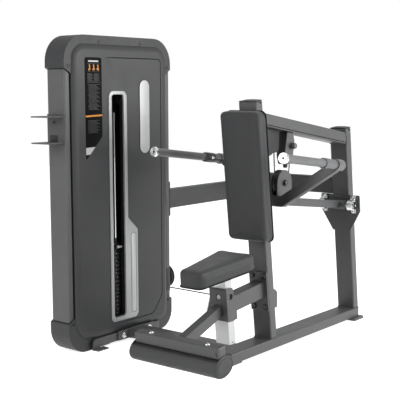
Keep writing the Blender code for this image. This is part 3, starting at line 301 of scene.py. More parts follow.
def leather(name, colour, rough=(0.42, 0.6)):
    """Grained upholstery: fine pebbles with creases between them and soft unevenness below."""
    made, n, l, shader = shader_material(name, colour, sum(rough) / 2)
    shader.inputs["Sheen Weight"].default_value = 0.12
    shader.inputs["Sheen Roughness"].default_value = 0.5
    where = place_node(n, l)
    cloud = noise_node(n, l, where, 14.0, 5.0)
    warp = n.new("ShaderNodeVectorMath")
    warp.operation = "MULTIPLY_ADD"
    jitter = n.new("ShaderNodeTexNoise")
    jitter.inputs["Scale"].default_value = 160.0
    l.new(where, jitter.inputs["Vector"])
    l.new(jitter.outputs["Color"], warp.inputs[0])
    warp.inputs[1].default_value = (0.0016, 0.0016, 0.0016)
    l.new(where, warp.inputs[2])
    pebble = n.new("ShaderNodeTexVoronoi")
    pebble.feature = "DISTANCE_TO_EDGE"
    pebble.inputs["Scale"].default_value = 620.0
    l.new(warp.outputs[0], pebble.inputs["Vector"])
    crease = range_node(n, l, pebble.outputs["Distance"], 0.0, 1.0, 0.0, 0.22)
    l.new(ramp_node(n, l, cloud, [(0.25, shade(colour, 0.86)), (0.75, shade(colour, 1.12))]), shader.inputs["Base Color"])
    l.new(range_node(n, l, cloud, rough[0], rough[1], 0.3, 0.7), shader.inputs["Roughness"])
    height = math_node(n, l, "ADD", crease, math_node(n, l, "MULTIPLY", cloud, 2.0))
    l.new(bump_node(n, l, height, 0.35, 0.0003), shader.inputs["Normal"])
    return made


def polished(name, colour, rough=(0.05, 0.12)):
    made, n, l, shader = shader_material(name, colour, sum(rough) / 2, 1.0)
    where = place_node(n, l)
    smear = noise_node(n, l, where, 30.0, 4.0)
    l.new(range_node(n, l, smear, rough[0], rough[1], 0.35, 0.7), shader.inputs["Roughness"])
    l.new(ramp_node(n, l, smear, [(0.3, shade(colour, 0.95)), (0.7, colour)]), shader.inputs["Base Color"])
    return made


def satin(name, colour, rough=(0.3, 0.42), metallic=0.3):
    made, n, l, shader = shader_material(name, colour, sum(rough) / 2, metallic)
    where = place_node(n, l)
    cloud = noise_node(n, l, where, 24.0, 4.0)
    fine = noise_node(n, l, where, 1200.0, 1.0)
    l.new(range_node(n, l, cloud, rough[0], rough[1], 0.3, 0.7), shader.inputs["Roughness"])
    l.new(ramp_node(n, l, cloud, [(0.3, shade(colour, 0.96)), (0.7, shade(colour, 1.02))]), shader.inputs["Base Color"])
    l.new(bump_node(n, l, fine, 0.08, 0.0001), shader.inputs["Normal"])
    return made


def rubbery(name, colour, rough=(0.5, 0.68)):
    made, n, l, shader = shader_material(name, colour, sum(rough) / 2)
    where = place_node(n, l)
    cloud = noise_node(n, l, where, 18.0, 5.0)
    pores = noise_node(n, l, where, 700.0, 3.0)
    l.new(ramp_node(n, l, cloud, [(0.3, shade(colour, 0.88)), (0.7, shade(colour, 1.1))]), shader.inputs["Base Color"])
    l.new(range_node(n, l, cloud, rough[0], rough[1], 0.3, 0.7), shader.inputs["Roughness"])
    l.new(bump_node(n, l, pores, 0.3, 0.0003), shader.inputs["Normal"])
    return made


FRAME_PAINT = powder_coat("frame_powder_coat", (0.086, 0.087, 0.090), (0.34, 0.46))
POST_PAINT = powder_coat("tower_post_powder_coat", (0.112, 0.113, 0.116), (0.38, 0.5))
COVER_PAINT = powder_coat("tower_cover_satin", (0.032, 0.033, 0.035), (0.42, 0.54), fleck=0.2)
CAP_PLASTIC = moulded("corner_cap_plastic", (0.036, 0.037, 0.039))
PAD_LEATHER = leather("pad_upholstery", (0.050, 0.051, 0.053))
PAD_LEATHER.node_tree.nodes["Principled BSDF"].inputs["Specular IOR Level"].default_value = 0.28
BOARD_PLASTIC = moulded("pad_board_black", (0.012, 0.012, 0.013), (0.5, 0.62))
SILVER = satin("silver_surround", (0.44, 0.445, 0.45))
CHROME = polished("chrome_plate", (0.86, 0.865, 0.87))
BLACK_NYLON = moulded("black_nylon", (0.012, 0.012, 0.013), (0.3, 0.42), 900.0)
RUBBER = rubbery("roller_foam_rubber", (0.05, 0.051, 0.053))
IRON = powder_coat("stack_plate_paint", (0.014, 0.014, 0.015), (0.3, 0.42), fleck=0.12)
JACKET = moulded("cable_jacket_black", (0.014, 0.014, 0.015), (0.28, 0.4))
BEARING = polished("bearing_zinc", (0.70, 0.71, 0.72), (0.18, 0.26))
FLOOR = satin("pale_floor", (0.92, 0.92, 0.92), (0.8, 0.9), 0.0)
FLOOR.node_tree.nodes["Principled BSDF"].inputs["Emission Color"].default_value = (1, 1, 1, 1)
FLOOR.node_tree.nodes["Principled BSDF"].inputs["Emission Strength"].default_value = 0.78
FLOOR.node_tree.nodes["Principled BSDF"].inputs["Specular IOR Level"].default_value = 0.1
floor.data.materials.append(FLOOR)

BY_SLOT = {
    "frame_paint": FRAME_PAINT,
    "tower_post_paint": POST_PAINT,
    "tower_cover_paint": COVER_PAINT,
    "cap_plastic": CAP_PLASTIC,
    "pad_leather": PAD_LEATHER,
    "pad_board": BOARD_PLASTIC,
    "silver_trim": SILVER,
    "chrome": CHROME,
    "black_plastic": BLACK_NYLON,
    "roller_rubber": RUBBER,
    "weight_iron": IRON,
    "cable_jacket": JACKET,
    "bearing_housing": BEARING,
}
for entry in frame["record"]["subparts"]:
    node = NODES[entry["node"]]
    node.data.materials.clear()
    node.data.materials.append(BY_SLOT[entry["material_slot"]])

INLAY = satin("inlay_pale", (0.60, 0.605, 0.61), (0.34, 0.44), 0.2)
BADGE = satin("badge_brushed", (0.58, 0.585, 0.59), (0.30, 0.40), 0.15)
PLACARD = satin("placard_film", (0.0045, 0.0045, 0.005), (0.45, 0.55), 0.0)
PLACARD.node_tree.nodes["Principled BSDF"].inputs["Specular IOR Level"].default_value = 0.06
# pale satin for print and the pin's grip, also the painted highlight inside the sleeve's hole
PALE_INK_AND_HIGHLIGHT = satin("pale_print_and_painted_highlight", (0.70, 0.70, 0.69), (0.4, 0.5), 0.0)
INK_WARM = satin("print_warm", (0.82, 0.30, 0.012), (0.4, 0.5), 0.0)
INK_DIM = satin("print_dim", (0.085, 0.085, 0.087), (0.4, 0.5), 0.0)
ZINC = polished("zinc_bolts", (0.72, 0.725, 0.73), (0.16, 0.28))
BLACK_BOLT = powder_coat("black_oxide_bolts", (0.040, 0.040, 0.041), (0.22, 0.30), fleck=0.2)
# frame paint darkened: painted shade for the link beam and rear cross beam, which lie far back in shade
SHADED_FRAME_PAINT = powder_coat("frame_paint_painted_shade", (0.050, 0.051, 0.053), (0.36, 0.48))
LIGHT_PAINT = powder_coat("sleeve_powder_coat", (0.155, 0.157, 0.161), (0.32, 0.42))
PIPING = leather("pad_piping", (0.006, 0.006, 0.007), (0.5, 0.6))
PIPING.node_tree.nodes["Principled BSDF"].inputs["Specular IOR Level"].default_value = 0.10
THREAD = rubbery("pad_thread", (0.018, 0.018, 0.019), (0.6, 0.75))
GRIP_RUBBER = rubbery("grip_sleeve", (0.170, 0.172, 0.176), (0.30, 0.42))
POST_CHROME = satin("post_satin_chrome", (0.60, 0.605, 0.61), (0.28, 0.36), 0.45)
WELD_BEAD = powder_coat("weld_bead_paint", (0.088, 0.089, 0.093), (0.32, 0.44))

# matte black without reflection: painted shade for the insides of grooves, slots, gaps and openings
SHADE_BLACK = moulded("painted_shade_black", (0.003, 0.003, 0.003), (0.9, 1.0))
SHADE_BLACK.node_tree.nodes["Principled BSDF"].inputs["Specular IOR Level"].default_value = 0.0
SHAFT_FACE = powder_coat("shaft_end_dark", (0.022, 0.022, 0.023), (0.5, 0.6), fleck=0.1)
SHAFT_FACE.node_tree.nodes["Principled BSDF"].inputs["Specular IOR Level"].default_value = 0.12
# frame paint darkened, with less reflection: painted shade on the upper wheel's bracket plates
SHADED_PLATE_PAINT = powder_coat("wheel_plate_painted_shade", (0.042, 0.043, 0.045), (0.45, 0.55))
SHADED_PLATE_PAINT.node_tree.nodes["Principled BSDF"].inputs["Specular IOR Level"].default_value = 0.22
LEVER_PALE = satin("lever_pale", (0.66, 0.665, 0.67), (0.34, 0.42), 0.1)
NODES["seat_lever"].data.materials[0] = LEVER_PALE
# the link beam and rear cross beam take the darkened paint as painted shade
for name in ("link_beam", "rear_cross_beam"):
    NODES[name].data.materials[0] = SHADED_FRAME_PAINT
NODES["seat_post"].data.materials[0] = POST_CHROME

# ---------------------------------------------------------------- shapes
def axes(x, y, z, at=(0, 0, 0)):
    made = Matrix((Vector(x), Vector(y), Vector(z))).transposed().to_4x4()
    made.translation = Vector(at)
    return made


def facing(at, way, roll=0.0):
    """A frame at a point whose Z looks one way."""
    z = Vector(way).normalized()
    x = z.orthogonal().normalized() if abs(z.z) > 0.9 else Vector((0, 0, 1)).cross(z).normalized()
    y = z.cross(x)
    made = axes(x, y, z, at)
    return made @ Matrix.Rotation(roll, 4, "Z")


def fillet(points, radii, steps=5, closed=True):
    """The outline with each corner turned into an arc."""
    made = []
    count = len(points)
    for i, p in enumerate(points):
        here = Vector(p)
        radius = radii[i] if isinstance(radii, (list, tuple)) else radii
        if radius <= 0 or (not closed and i in (0, count - 1)):
            made.append(here.copy())
            continue
        a, b = Vector(points[i - 1]) - here, Vector(points[(i + 1) % count]) - here
        u, v = a.normalized(), b.normalized()
        half = u.angle(v) / 2
        if half > 1.55:
            made.append(here.copy())
            continue
        reach = min(radius / math.tan(half), 0.49 * a.length, 0.49 * b.length)
        radius = reach * math.tan(half)
        centre = here + (u + v).normalized() * (radius / math.sin(half))
        first, last = here + u * reach - centre, here + v * reach - centre
        whole = first.angle(last)
        for k in range(steps + 1):
            t = k / steps
            made.append(
                centre
                + first * (math.sin((1 - t) * whole) / math.sin(whole))
                + last * (math.sin(t * whole) / math.sin(whole))
            )
    return made


def area(outline):
    return sum(
        a[0] * b[1] - b[0] * a[1] for a, b in zip(outline, list(outline[1:]) + [outline[0]])
    ) / 2


def inset(outline, by):
    """A closed outline moved inwards by a distance, point for point."""
    if abs(by) < 1e-9:
        return [Vector(p) for p in outline]
    turn = 1 if area(outline) > 0 else -1
    made = []
    count = len(outline)
    for i in range(count):
        a, p, b = Vector(outline[i - 1]), Vector(outline[i]), Vector(outline[(i + 1) % count])
        u, v = (p - a).normalized(), (b - p).normalized()
        nu, nv = Vector((-u.y, u.x)) * turn, Vector((-v.y, v.x)) * turn
        mean = (nu + nv).normalized()
        made.append(p + mean * (by / max(0.35, mean.dot(nu))))
    return made


def loft(rings, caps=(True, True), closed=False):
    size, count = len(rings[0]), len(rings)
    verts = [Vector(p) for ring in rings for p in ring]
    faces = []
    for k in range(count if closed else count - 1):
        a, b = k * size, ((k + 1) % count) * size
        faces += [(a + i, a + (i + 1) % size, b + (i + 1) % size, b + i) for i in range(size)]
    if not closed:
        if caps[0]:
            faces.append(tuple(reversed(range(size))))
        if caps[1]:
            faces.append(tuple(range((count - 1) * size, count * size)))
    return verts, faces


def turned(profile, steps=40):
    """A profile of (radius, height) turned round Z."""
    rings = [
        [(r * math.cos(2 * math.pi * i / steps), r * math.sin(2 * math.pi * i / steps), z) for i in range(steps)]
        for r, z in profile
    ]
    return loft(rings, (profile[0][0] > 1e-6, profile[-1][0] > 1e-6))


def rim(outline, low, high, round_low=0.0, round_high=0.0, steps=4):
    """Rings that give a slab of this outline rounded edges."""
    rings = []
    if round_low > 0:
        for k in range(steps):
            a = math.pi / 2 * k / steps
            rings.append((round_low * (1 - math.sin(a)), low + round_low * (1 - math.cos(a))))
    rings.append((0.0, low + round_low))
    rings.append((0.0, high - round_high))
    if round_high > 0:
        for k in range(1, steps + 1):
            a = math.pi / 2 * k / steps
            rings.append((round_high * (1 - math.cos(a)), high - round_high * (1 - math.sin(a))))
    return [[(p.x, p.y, z) for p in inset(outline, by)] for by, z in rings]


def slab(outline, low, high, round_low=0.0, round_high=0.0, steps=4):
    return loft(rim(outline, low, high, round_low, round_high, steps))


def pierced(outer, holes, low, high, edge=0.001, steps=3):
    """A flat slab with holes: both faces meshed round the holes, every upper edge rounded."""
    from mathutils.geometry import tessellate_polygon

    walls = [rim(outer, low, high, 0, edge, steps)]
    for hole in holes:
        path = list(hole) if area(hole) * area(outer) > 0 else list(hole)[::-1]
        rings = []
        for by, z in [(0.0, low), (0.0, high - edge)] + [
            (edge * (1 - math.cos(math.pi / 2 * k / steps)), high - edge * (1 - math.sin(math.pi / 2 * k / steps)))
            for k in range(1, steps + 1)
        ]:
            rings.append([(p.x, p.y, z) for p in inset(path, -by)])
        walls.append(rings)
    verts, faces, tops, bottoms = [], [], [], []
    for rings in walls:
        v, f = loft(rings, (False, False))
        base = len(verts)
        verts += v
        faces += [tuple(base + i for i in face) for face in f]
        size = len(rings[0])
        bottoms.append(list(range(base, base + size)))
        tops.append(list(range(base + size * (len(rings) - 1), base + size * len(rings))))
    for groups in (tops, bottoms):
        flat = [i for g in groups for i in g]
        for tri in tessellate_polygon([[verts[i] for i in g] for g in groups]):
            faces.append(tuple(flat[i] for i in tri))
    return verts, faces


def swept(points, radius, steps=12, closed=False, ends=True, squash=1.0):
    """A round bar along a path. The radius is one number or one for each point."""
    path = [Vector(p) for p in points]
    count = len(path)
    radii = radius if isinstance(radius, (list, tuple)) else [radius] * count
    tangents = []
    for i in range(count):
        if closed:
            t = path[(i + 1) % count] - path[i - 1]
        else:
            t = path[min(i + 1, count - 1)] - path[max(i - 1, 0)]
        tangents.append(t.normalized())
    side = tangents[0].orthogonal().normalized()
    rings = []
    for i, (p, t) in enumerate(zip(path, tangents)):
        side = (side - t * side.dot(t)).normalized()
        up = t.cross(side)
        rings.append(
            [
                p + radii[i] * (math.cos(2 * math.pi * k / steps) * side + squash * math.sin(2 * math.pi * k / steps) * up)
                for k in range(steps)
            ]
        )
    return loft(rings, (ends, ends), closed)


def spline(points, steps=6, closed=False):
    """A smooth curve through points."""
    p = [Vector(q) for q in points]
    count = len(p)
    made = []
    spans = count if closed else count - 1
    for i in range(spans):
        a = p[i - 1] if (closed or i > 0) else p[0] * 2 - p[1]
        b, c = p[i], p[(i + 1) % count]
        d = p[(i + 2) % count] if (closed or i + 2 < count) else c * 2 - b
        for k in range(steps):
            t = k / steps
            made.append(
                0.5 * ((2 * b) + (c - a) * t + (2 * a - 5 * b + 4 * c - d) * t * t + (3 * b - a - 3 * c + d) * t**3)
            )
    if not closed:
        made.append(p[-1])
    return made


class Shape:
    """Closed forms gathered into one piece, in machine coordinates."""

    def __init__(self):
        self.verts, self.faces, self.kinds = [], [], []

    def add(self, form, at=None, kind=0):
        verts, faces = form
        base = len(self.verts)
        self.verts += [at @ Vector(v) for v in verts] if at is not None else [Vector(v) for v in verts]
        self.faces += [tuple(base + i for i in f) for f in faces]
        self.kinds += [kind] * len(faces)
        return self

    def piece(self, name, body, slot, *materials, replaces=(), sharp=38.0, flat=False):
        work = bmesh.new()
        verts = [work.verts.new(v - CENTRE) for v in self.verts]
        for face, kind in zip(self.faces, self.kinds):
            if len(set(face)) < 3:
                continue
            try:
                made = work.faces.new([verts[i] for i in face])
                made.material_index = kind
                made.smooth = not flat
            except ValueError:
                pass
        bmesh.ops.remove_doubles(work, verts=work.verts, dist=2e-6)
        bmesh.ops.recalc_face_normals(work, faces=work.faces)
        mesh = bpy.data.meshes.new(name)
        work.to_mesh(mesh)
        work.free()
        if not flat:
            mesh.set_sharp_from_angle(angle=math.radians(sharp))
        for material in materials:
            mesh.materials.append(material)
        made = bpy.data.objects.new(name, mesh)
        scene.collection.objects.link(made)
        if body:
            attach(made, body)
        if replaces:
            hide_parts(*replaces)
        return made


def hexed(radius, angle):
    """Distance to a hexagon's side, its corners at radius."""
    a = (angle + math.pi / 6) % (math.pi / 3) - math.pi / 6
    return radius * math.cos(math.pi / 6) / math.cos(a)


def hex_head(radius, height, washer=1.32, thin=0.0016, steps=36):
    """A hexagon head with chamfered corners on a plain washer. It stands on Z = 0."""
    rings = []
    for r, z in ((washer * radius, 0.0), (washer * radius, thin * 0.8), (washer * radius - thin * 0.3, thin)):
        rings.append([(r * math.cos(2 * math.pi * i / steps), r * math.sin(2 * math.pi * i / steps), z) for i in range(steps)])
    top = []
    for share, z in ((1.0, thin), (1.0, thin + height * 0.78), (0.93, thin + height * 0.93), (0.80, thin + height), (0.0, thin + height * 0.985)):
        ring = []
        for i in range(steps):
            a = 2 * math.pi * i / steps
            r = min(hexed(radius, a), radius * share) if share < 1 else hexed(radius, a)
            ring.append((r * math.cos(a), r * math.sin(a), z))
        top.append(ring)
    return loft(rings + top, (True, False))


def socket_head(radius, height, recess=0.55, steps=36, dome=0.35):
    """A domed screw head with a hexagon socket in it."""
    rings = []
    profile = [(1.0, 0.0), (1.0, height * (0.62 - dome * 0.3)), (0.94, height * 0.80), (0.80, height * 0.95), (0.66, height)]
    for share, z in profile:
        rings.append([(share * radius * math.cos(2 * math.pi * i / steps), share * radius * math.sin(2 * math.pi * i / steps), z) for i in range(steps)])
    for r, z in ((recess, height * 0.97), (recess * 0.97, height * 0.25), (0.0, height * 0.2)):
        ring = []
        for i in range(steps):
            a = 2 * math.pi * i / steps
            q = hexed(r * radius, a)
            ring.append((q * math.cos(a), q * math.sin(a), z))
        rings.append(ring)
    return loft(rings, (True, False))


def weld(path, radius=0.0028, closed=False):
    """A rippled bead laid along a joint."""
    line = [Vector(p) for p in path]
    if closed:
        line = line + [line[0]]
    made, radii = [], []
    done = 0.0
    for a, b in zip(line, line[1:]):
        length = (b - a).length
        steps = max(2, int(length / 0.0016))
        for k in range(steps):
            q = a.lerp(b, k / steps)
            s = done + length * k / steps
            made.append(q)
            radii.append(radius * (1 + 0.16 * math.sin(s / 0.0042 * 2 * math.pi) + 0.08 * noise.noise(q * 90)))
        done += length
    if not closed:
        made.append(line[-1])
        radii.append(radius)
    return swept(made, radii, 8, closed)


# ---------------------------------------------------------------- tower cover
FACE = axes((0, 1, 0), (0, 0, 1), (1, 0, 0))
COVER_Y, COVER_Z, PLATEAU = (-0.0835, 0.5735), (0.0523, 1.4575), 0.0200


def box_outline(y, z, radii, steps=10):
    return fillet([(y[0], z[0]), (y[1], z[0]), (y[1], z[1]), (y[0], z[1])], radii, steps)


cover_outline = box_outline(COVER_Y, COVER_Z, [0.110, 0.060, 0.080, 0.080], 14)
edge_line = spline([(-0.004, 0, 0), (0.0042, 0, 0), (0.0078, 0.0006, 0), (0.0131, 0.0072, 0), (0.01825, 0.0210, 0), (0.0198, 0.031, 0), (0.0200, 0.036, 0)], 4)
rings = []
for q in edge_line:
    rings.append([(p.x, p.y, q.x) for p in inset(cover_outline, q.y)])
cover = Shape().add(loft(rings), FACE).piece("tower_cover_skin", None, None, COVER_PAINT)


def carve(target, *shapes):
    """Cuts closed forms out of a piece and leaves a plain mesh."""
    for shape in shapes:
        tool = shape.piece("tool", None, None)
        cutter = target.modifiers.new("cut", "BOOLEAN")
        cutter.operation, cutter.solver, cutter.object = "DIFFERENCE", "EXACT", tool
        bpy.context.view_layer.update()
        seen = bpy.context.evaluated_depsgraph_get()
        mesh = bpy.data.meshes.new_from_object(target.evaluated_get(seen))
        target.modifiers.clear()
        target.data = mesh
        bpy.data.objects.remove(tool)
    mesh.set_sharp_from_angle(angle=math.radians(38))
    return target


slot_outline = box_outline((0.1665, 0.2430), (0.134, 1.221), 0.013, 8)
opening = box_outline((0.1625, 0.2470), (0.130, 1.225), 0.016, 8)
groove_line = fillet(
    [(0.118, 1.398), (0.525, 1.398), (0.525, 0.1850), (0.455, 0.0985), (0.130, 0.0985)],
    [0, 0.022, 0.060, 0.060, 0],
    8,
    closed=False,
)
groove_path = []
for a, b in zip(groove_line, groove_line[1:]):
    steps = max(1, int((b - a).length / 0.03))
    groove_path += [a.lerp(b, k / steps) for k in range(steps)]
groove_path.append(groove_line[-1])
count = len(groove_path)
groove_radii = [0.0024 * min(1.0, 0.25 + i / 3, 0.10 + (count - 1 - i) / 6) for i in range(count)]
groove = Shape().add(swept([(p.x, p.y, PLATEAU + 0.0006) for p in groove_path], groove_radii, 10), FACE)
carve(cover, Shape().add(slab(opening, -0.02, 0.04), FACE), groove)
# a black cord along the bottom of the groove: painted shadow that darkens the groove's line
groove_shadow_cord = swept([(q.x, q.y, PLATEAU - 0.0008) for q in groove_path], [r * 0.42 for r in groove_radii], 8)
Shape().add(groove_shadow_cord, FACE).piece("cover_groove_painted_shadow", "frame", "black_plastic", SHADE_BLACK)
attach(cover, "frame")
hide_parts("tower_front_cover")

gasket = Shape().add(pierced(inset(slot_outline, -0.0036), [inset(slot_outline, -0.0014)], -0.0036, 0.0202, 0.0004), FACE)
gasket.piece("window_gasket", "frame", "black_plastic", BLACK_NYLON)

# ---------------------------------------------------------------- window surround
bezel_outline = fillet(
    [(0.145, 0.110), (0.337, 0.110), (0.337, 0.555), (0.269, 0.618), (0.269, 1.240), (0.145, 1.240)],
    [0.026, 0.026, 0.014, 0.014, 0.030, 0.030],
    8,
)
oval = box_outline((0.2865, 0.3235), (0.135, 0.542), 0.0184, 12)
bezel = Shape()
bezel.add(pierced(bezel_outline, [slot_outline], 0.0203, 0.0250, 0.0016, 4), FACE)
bezel.piece("window_surround", "frame", "silver_trim", SILVER, replaces=("window_bezel",))
# a matte black rim round the window's opening: painted shade at its edge
opening_shade_rim = Shape().add(pierced(inset(slot_outline, -0.0030), [inset(slot_outline, -0.0002)], 0.0249, 0.0256, 0.0003, 2), FACE)
opening_shade_rim.piece("window_edge_painted_shade", "frame", "black_plastic", SHADE_BLACK)
band = Shape().add(pierced(oval, [inset(oval, 0.0022)], 0.02495, 0.0256, 0.0005, 3), FACE)
band.piece("surround_inlay_ring", "frame", "black_plastic", BLACK_NYLON)
inlay = Shape().add(slab(inset(oval, 0.0023), 0.02495, 0.02535, 0, 0.0002, 2), FACE)
inlay.piece("surround_inlay", "frame", "silver_trim", INLAY)

# ---------------------------------------------------------------- bare badge and placard
badge_outline = box_outline((0.363, 0.437), (0.929, 1.295), 0.0369, 16)
badge = Shape().add(slab(badge_outline, 0.0200, 0.0226, 0, 0.0012, 4), FACE)
badge.piece("bare_badge_back", "frame", "black_plastic", BLACK_NYLON)
Shape().add(slab(inset(badge_outline, 0.0022), 0.0224, 0.0236, 0, 0.0008, 4), FACE).piece(
    "bare_badge", "frame", "silver_trim", BADGE
)
placard_outline = fillet(
    [(-0.0085, 0.9160), (0.1015, 1.0270), (0.1015, 1.396), (-0.0085, 1.396)], [0.004, 0.008, 0.012, 0.012], 5
)
Shape().add(slab(placard_outline, 0.0198, 0.0210, 0, 0.0004, 2), FACE).piece(
    "placard", "frame", "tower_cover_paint", PLACARD
)
tip = fillet([(-0.0080, 0.9425), (0.0190, 0.9440), (0.0530, 0.9782), (-0.0080, 0.9753)], 0.0008, 2)
pale, warm, dim = Shape(), Shape(), Shape()


def mark(shape, y, z, height=0.00025, turn=0.0, kind="box"):
    """A small flat block printed on the placard."""
    cy, cz = (y[0] + y[1]) / 2, (z[0] + z[1]) / 2
    hy, hz = (y[1] - y[0]) / 2, (z[1] - z[0]) / 2
    c, s = math.cos(turn), math.sin(turn)
    if kind == "box":
        pts = [(-hy, -hz), (hy, -hz), (hy, hz), (-hy, hz)]
    else:
        pts = [(hy * math.cos(a), hz * math.sin(a)) for a in [2 * math.pi * i / 16 for i in range(16)]]
    pts = [Vector((cy + c * a - s * b, cz + s * a + c * b)) for a, b in pts]
    shape.add(slab(pts, 0.0209, 0.0210 + height), FACE)


mark(pale, (0.014, 0.080), (1.3750, 1.3822))
mark(dim, (0.006, 0.092), (1.3660, 1.3672))
for k in range(3):
    mid = 0.0215 + 0.0275 * k
    mark(warm, (mid - 0.0075, mid + 0.0075), (1.337, 1.345), turn=0.5 - 0.4 * k)
    mark(warm, (mid - 0.0022, mid + 0.0048), (1.343, 1.358), turn=0.25 * (k - 1))
    mark(warm, (mid - 0.0035, mid + 0.0035), (1.3565, 1.3635), kind="disc")
    mark(dim, (mid - 0.0100, mid + 0.0100), (1.3300, 1.3312))
mark(dim, (0.006, 0.092), (1.2790, 1.2802))
for row in range(9):
    z = 1.3200 - 0.0044 * row
    if z < 1.284:
        break
    for a, b in ((0.008, 0.034 + 0.006 * (row % 3)), (0.050, 0.078 + 0.009 * (row % 2))):
        mark(dim, (a, b), (z, z + 0.0014))
band_at = [(-0.0080, 1.1186), (0.1010, 1.1222), (0.1010, 1.1302), (-0.0080, 1.1266)]
warm.add(slab([Vector(p) for p in band_at], 0.0209, 0.02125), FACE)
for row in range(26):
    z = 1.2700 - 0.0051 * row
    if z < 1.150:
        break
    start = 0.008 + (0.006 if row % 5 else 0.0)
    stop = 0.088 - 0.011 * ((row * 7) % 4) / 1.5
    mark(dim, (start, stop), (z, z + 0.0013))
for row in range(12):
    z = 1.1020 - 0.0052 * row
    mark(dim, (0.008, 0.084 - 0.010 * ((row * 5) % 3)), (z, z + 0.0013))
pale.add(slab(tip, 0.0209, 0.02125), FACE)
pale.piece("placard_pale_marks", "frame", "silver_trim", PALE_INK_AND_HIGHLIGHT)
warm.piece("placard_warm_marks", "frame", "silver_trim", INK_WARM)
dim.piece("placard_dim_marks", "frame", "silver_trim", INK_DIM)

# ---------------------------------------------------------------- tower fittings
def heads(shape, form, places, way, kind=0, roll=0.0):
    for k, place in enumerate(places):
        shape.add(form, facing(place, way, roll + 0.37 * k), kind)
    return shape


cap_face = 0.0070
screws = Shape()
heads(
    screws,
    socket_head(0.0074, 0.0036),
    [(cap_face - 0.0002, y, z) for y, z in (
        (0.101, 1.4690), (0.3885, 1.4690), (-0.0985, 1.3560), (0.5885, 1.3560),
        (-0.0985, 0.1460), (0.5885, 0.1460), (0.5026, 0.0310), (-0.0067, 0.0320),
    )],
    (1, 0, 0),
)
screws.piece("corner_cap_screws", "frame", "bearing_housing", BLACK_BOLT)
bracket_screw = Shape()
heads(bracket_screw, socket_head(0.0080, 0.0040), [(-0.0656, -0.1252, 1.0955)], (0, -1, 0))
bracket_screw.piece("side_bracket_screw", "frame", "bearing_housing", BLACK_BOLT)
tab = box_outline((0.0450, 0.0946), (1.0025, 1.0380), [0.0165, 0.0165, 0.0040, 0.0040], 8)
Shape().add(slab(tab, 0.0, 0.0014, 0, 0.0006, 2), axes((-1, 0, 0), (0, 0, 1), (0, 1, 0), (0, -0.1264, 0))).piece(
    "side_bracket_tab", "frame", "black_plastic", BLACK_NYLON
)

# The window's plates: each one a bevelled slab, with a zinc ring on its side where the pin goes.
stack = Shape()
STACK_X, STACK_Y = -0.0585, 0.226
pitch = (0.450 - 0.052) / 20
plate_outline = fillet(
    [(STACK_X - 0.0465, STACK_Y - 0.100), (STACK_X + 0.0465, STACK_Y - 0.100), (STACK_X + 0.0465, STACK_Y + 0.100), (STACK_X - 0.0465, STACK_Y + 0.100)],
    0.004,
    3,
)
for k in range(20):
    z0 = 0.052 + k * pitch
    stack.add(slab(plate_outline, z0 + 0.0004, z0 + pitch - 0.0006, 0.0017, 0.0017, 3))
stack.piece("stack_plates", "frame", "weight_iron", IRON, replaces=("weight_stack",))
holes = Shape()
for k in range(20):
    z = 0.052 + (k + 0.5) * pitch
    ring = [(0.0052 * math.cos(a), 0.0052 * math.sin(a)) for a in [2 * math.pi * i / 20 for i in range(20)]]
    eye = pierced([(0.0066 * math.cos(a), 0.0066 * math.sin(a)) for a in [2 * math.pi * i / 20 for i in range(20)]], [ring], 0.0, 0.0005, 0.0002, 2)
    holes.add(eye, facing((STACK_X + 0.0464, STACK_Y, z), (1, 0, 0)))
holes.piece("stack_pin_bushes", "frame", "bearing_housing", ZINC)

pin = Shape()
pin.add(turned([(0, 0), (0.0032, 0), (0.0040, 0.0012), (0.0040, 0.0450), (0, 0.0450)], 20), axes((0, 1, 0), (0, 0, 1), (1, 0, 0), (-0.0450, STACK_Y, 0.4745)))
pin.piece("selector_pin_shank", "pin", "chrome", CHROME, replaces=("selector_pin",))
knob = Shape().add(
    turned([(0, -0.0160), (0.0045, -0.0160), (0.0062, -0.0145), (0.0062, -0.0045), (0.0054, -0.0030), (0.0054, 0.0030), (0.0062, 0.0045), (0.0062, 0.0145), (0.0045, 0.0160), (0, 0.0160)], 24),
    axes((0, 0, 1), (1, 0, 0), (0, 1, 0), (0.0, STACK_Y, 0.4745)),
)
knob.add(turned([(0, -0.008), (0.0075, -0.008), (0.0075, -0.002), (0.0052, 0.0), (0, 0.0)], 24), axes((0, 1, 0), (0, 0, 1), (1, 0, 0), (-0.001, STACK_Y, 0.4745)))
knob.piece("selector_pin_grip", "pin", "silver_trim", PALE_INK_AND_HIGHLIGHT)

# ---------------------------------------------------------------- foot pad
PAD_AXIS, PAD_HALF, PAD_TILT = (-0.0985, 0.1100), (0.0645, 0.0480), math.radians(10.4)
PAD_X = (0.4175, 0.8985)
BAR = axes((1, 0, 0), LEAN_REAR, LEAN_UP, (0, -0.1074, 0.1706))


def oval_ring(less, x, count=96):
    made = []
    for i in range(count):
        a = 2 * math.pi * i / count
        u, v = (PAD_HALF[0] - less) * math.cos(a), (PAD_HALF[1] - less) * math.sin(a)
        c, s = math.cos(PAD_TILT), math.sin(PAD_TILT)
        made.append((PAD_AXIS[0] + c * u - s * v, PAD_AXIS[1] + s * u + c * v, x))
    return made


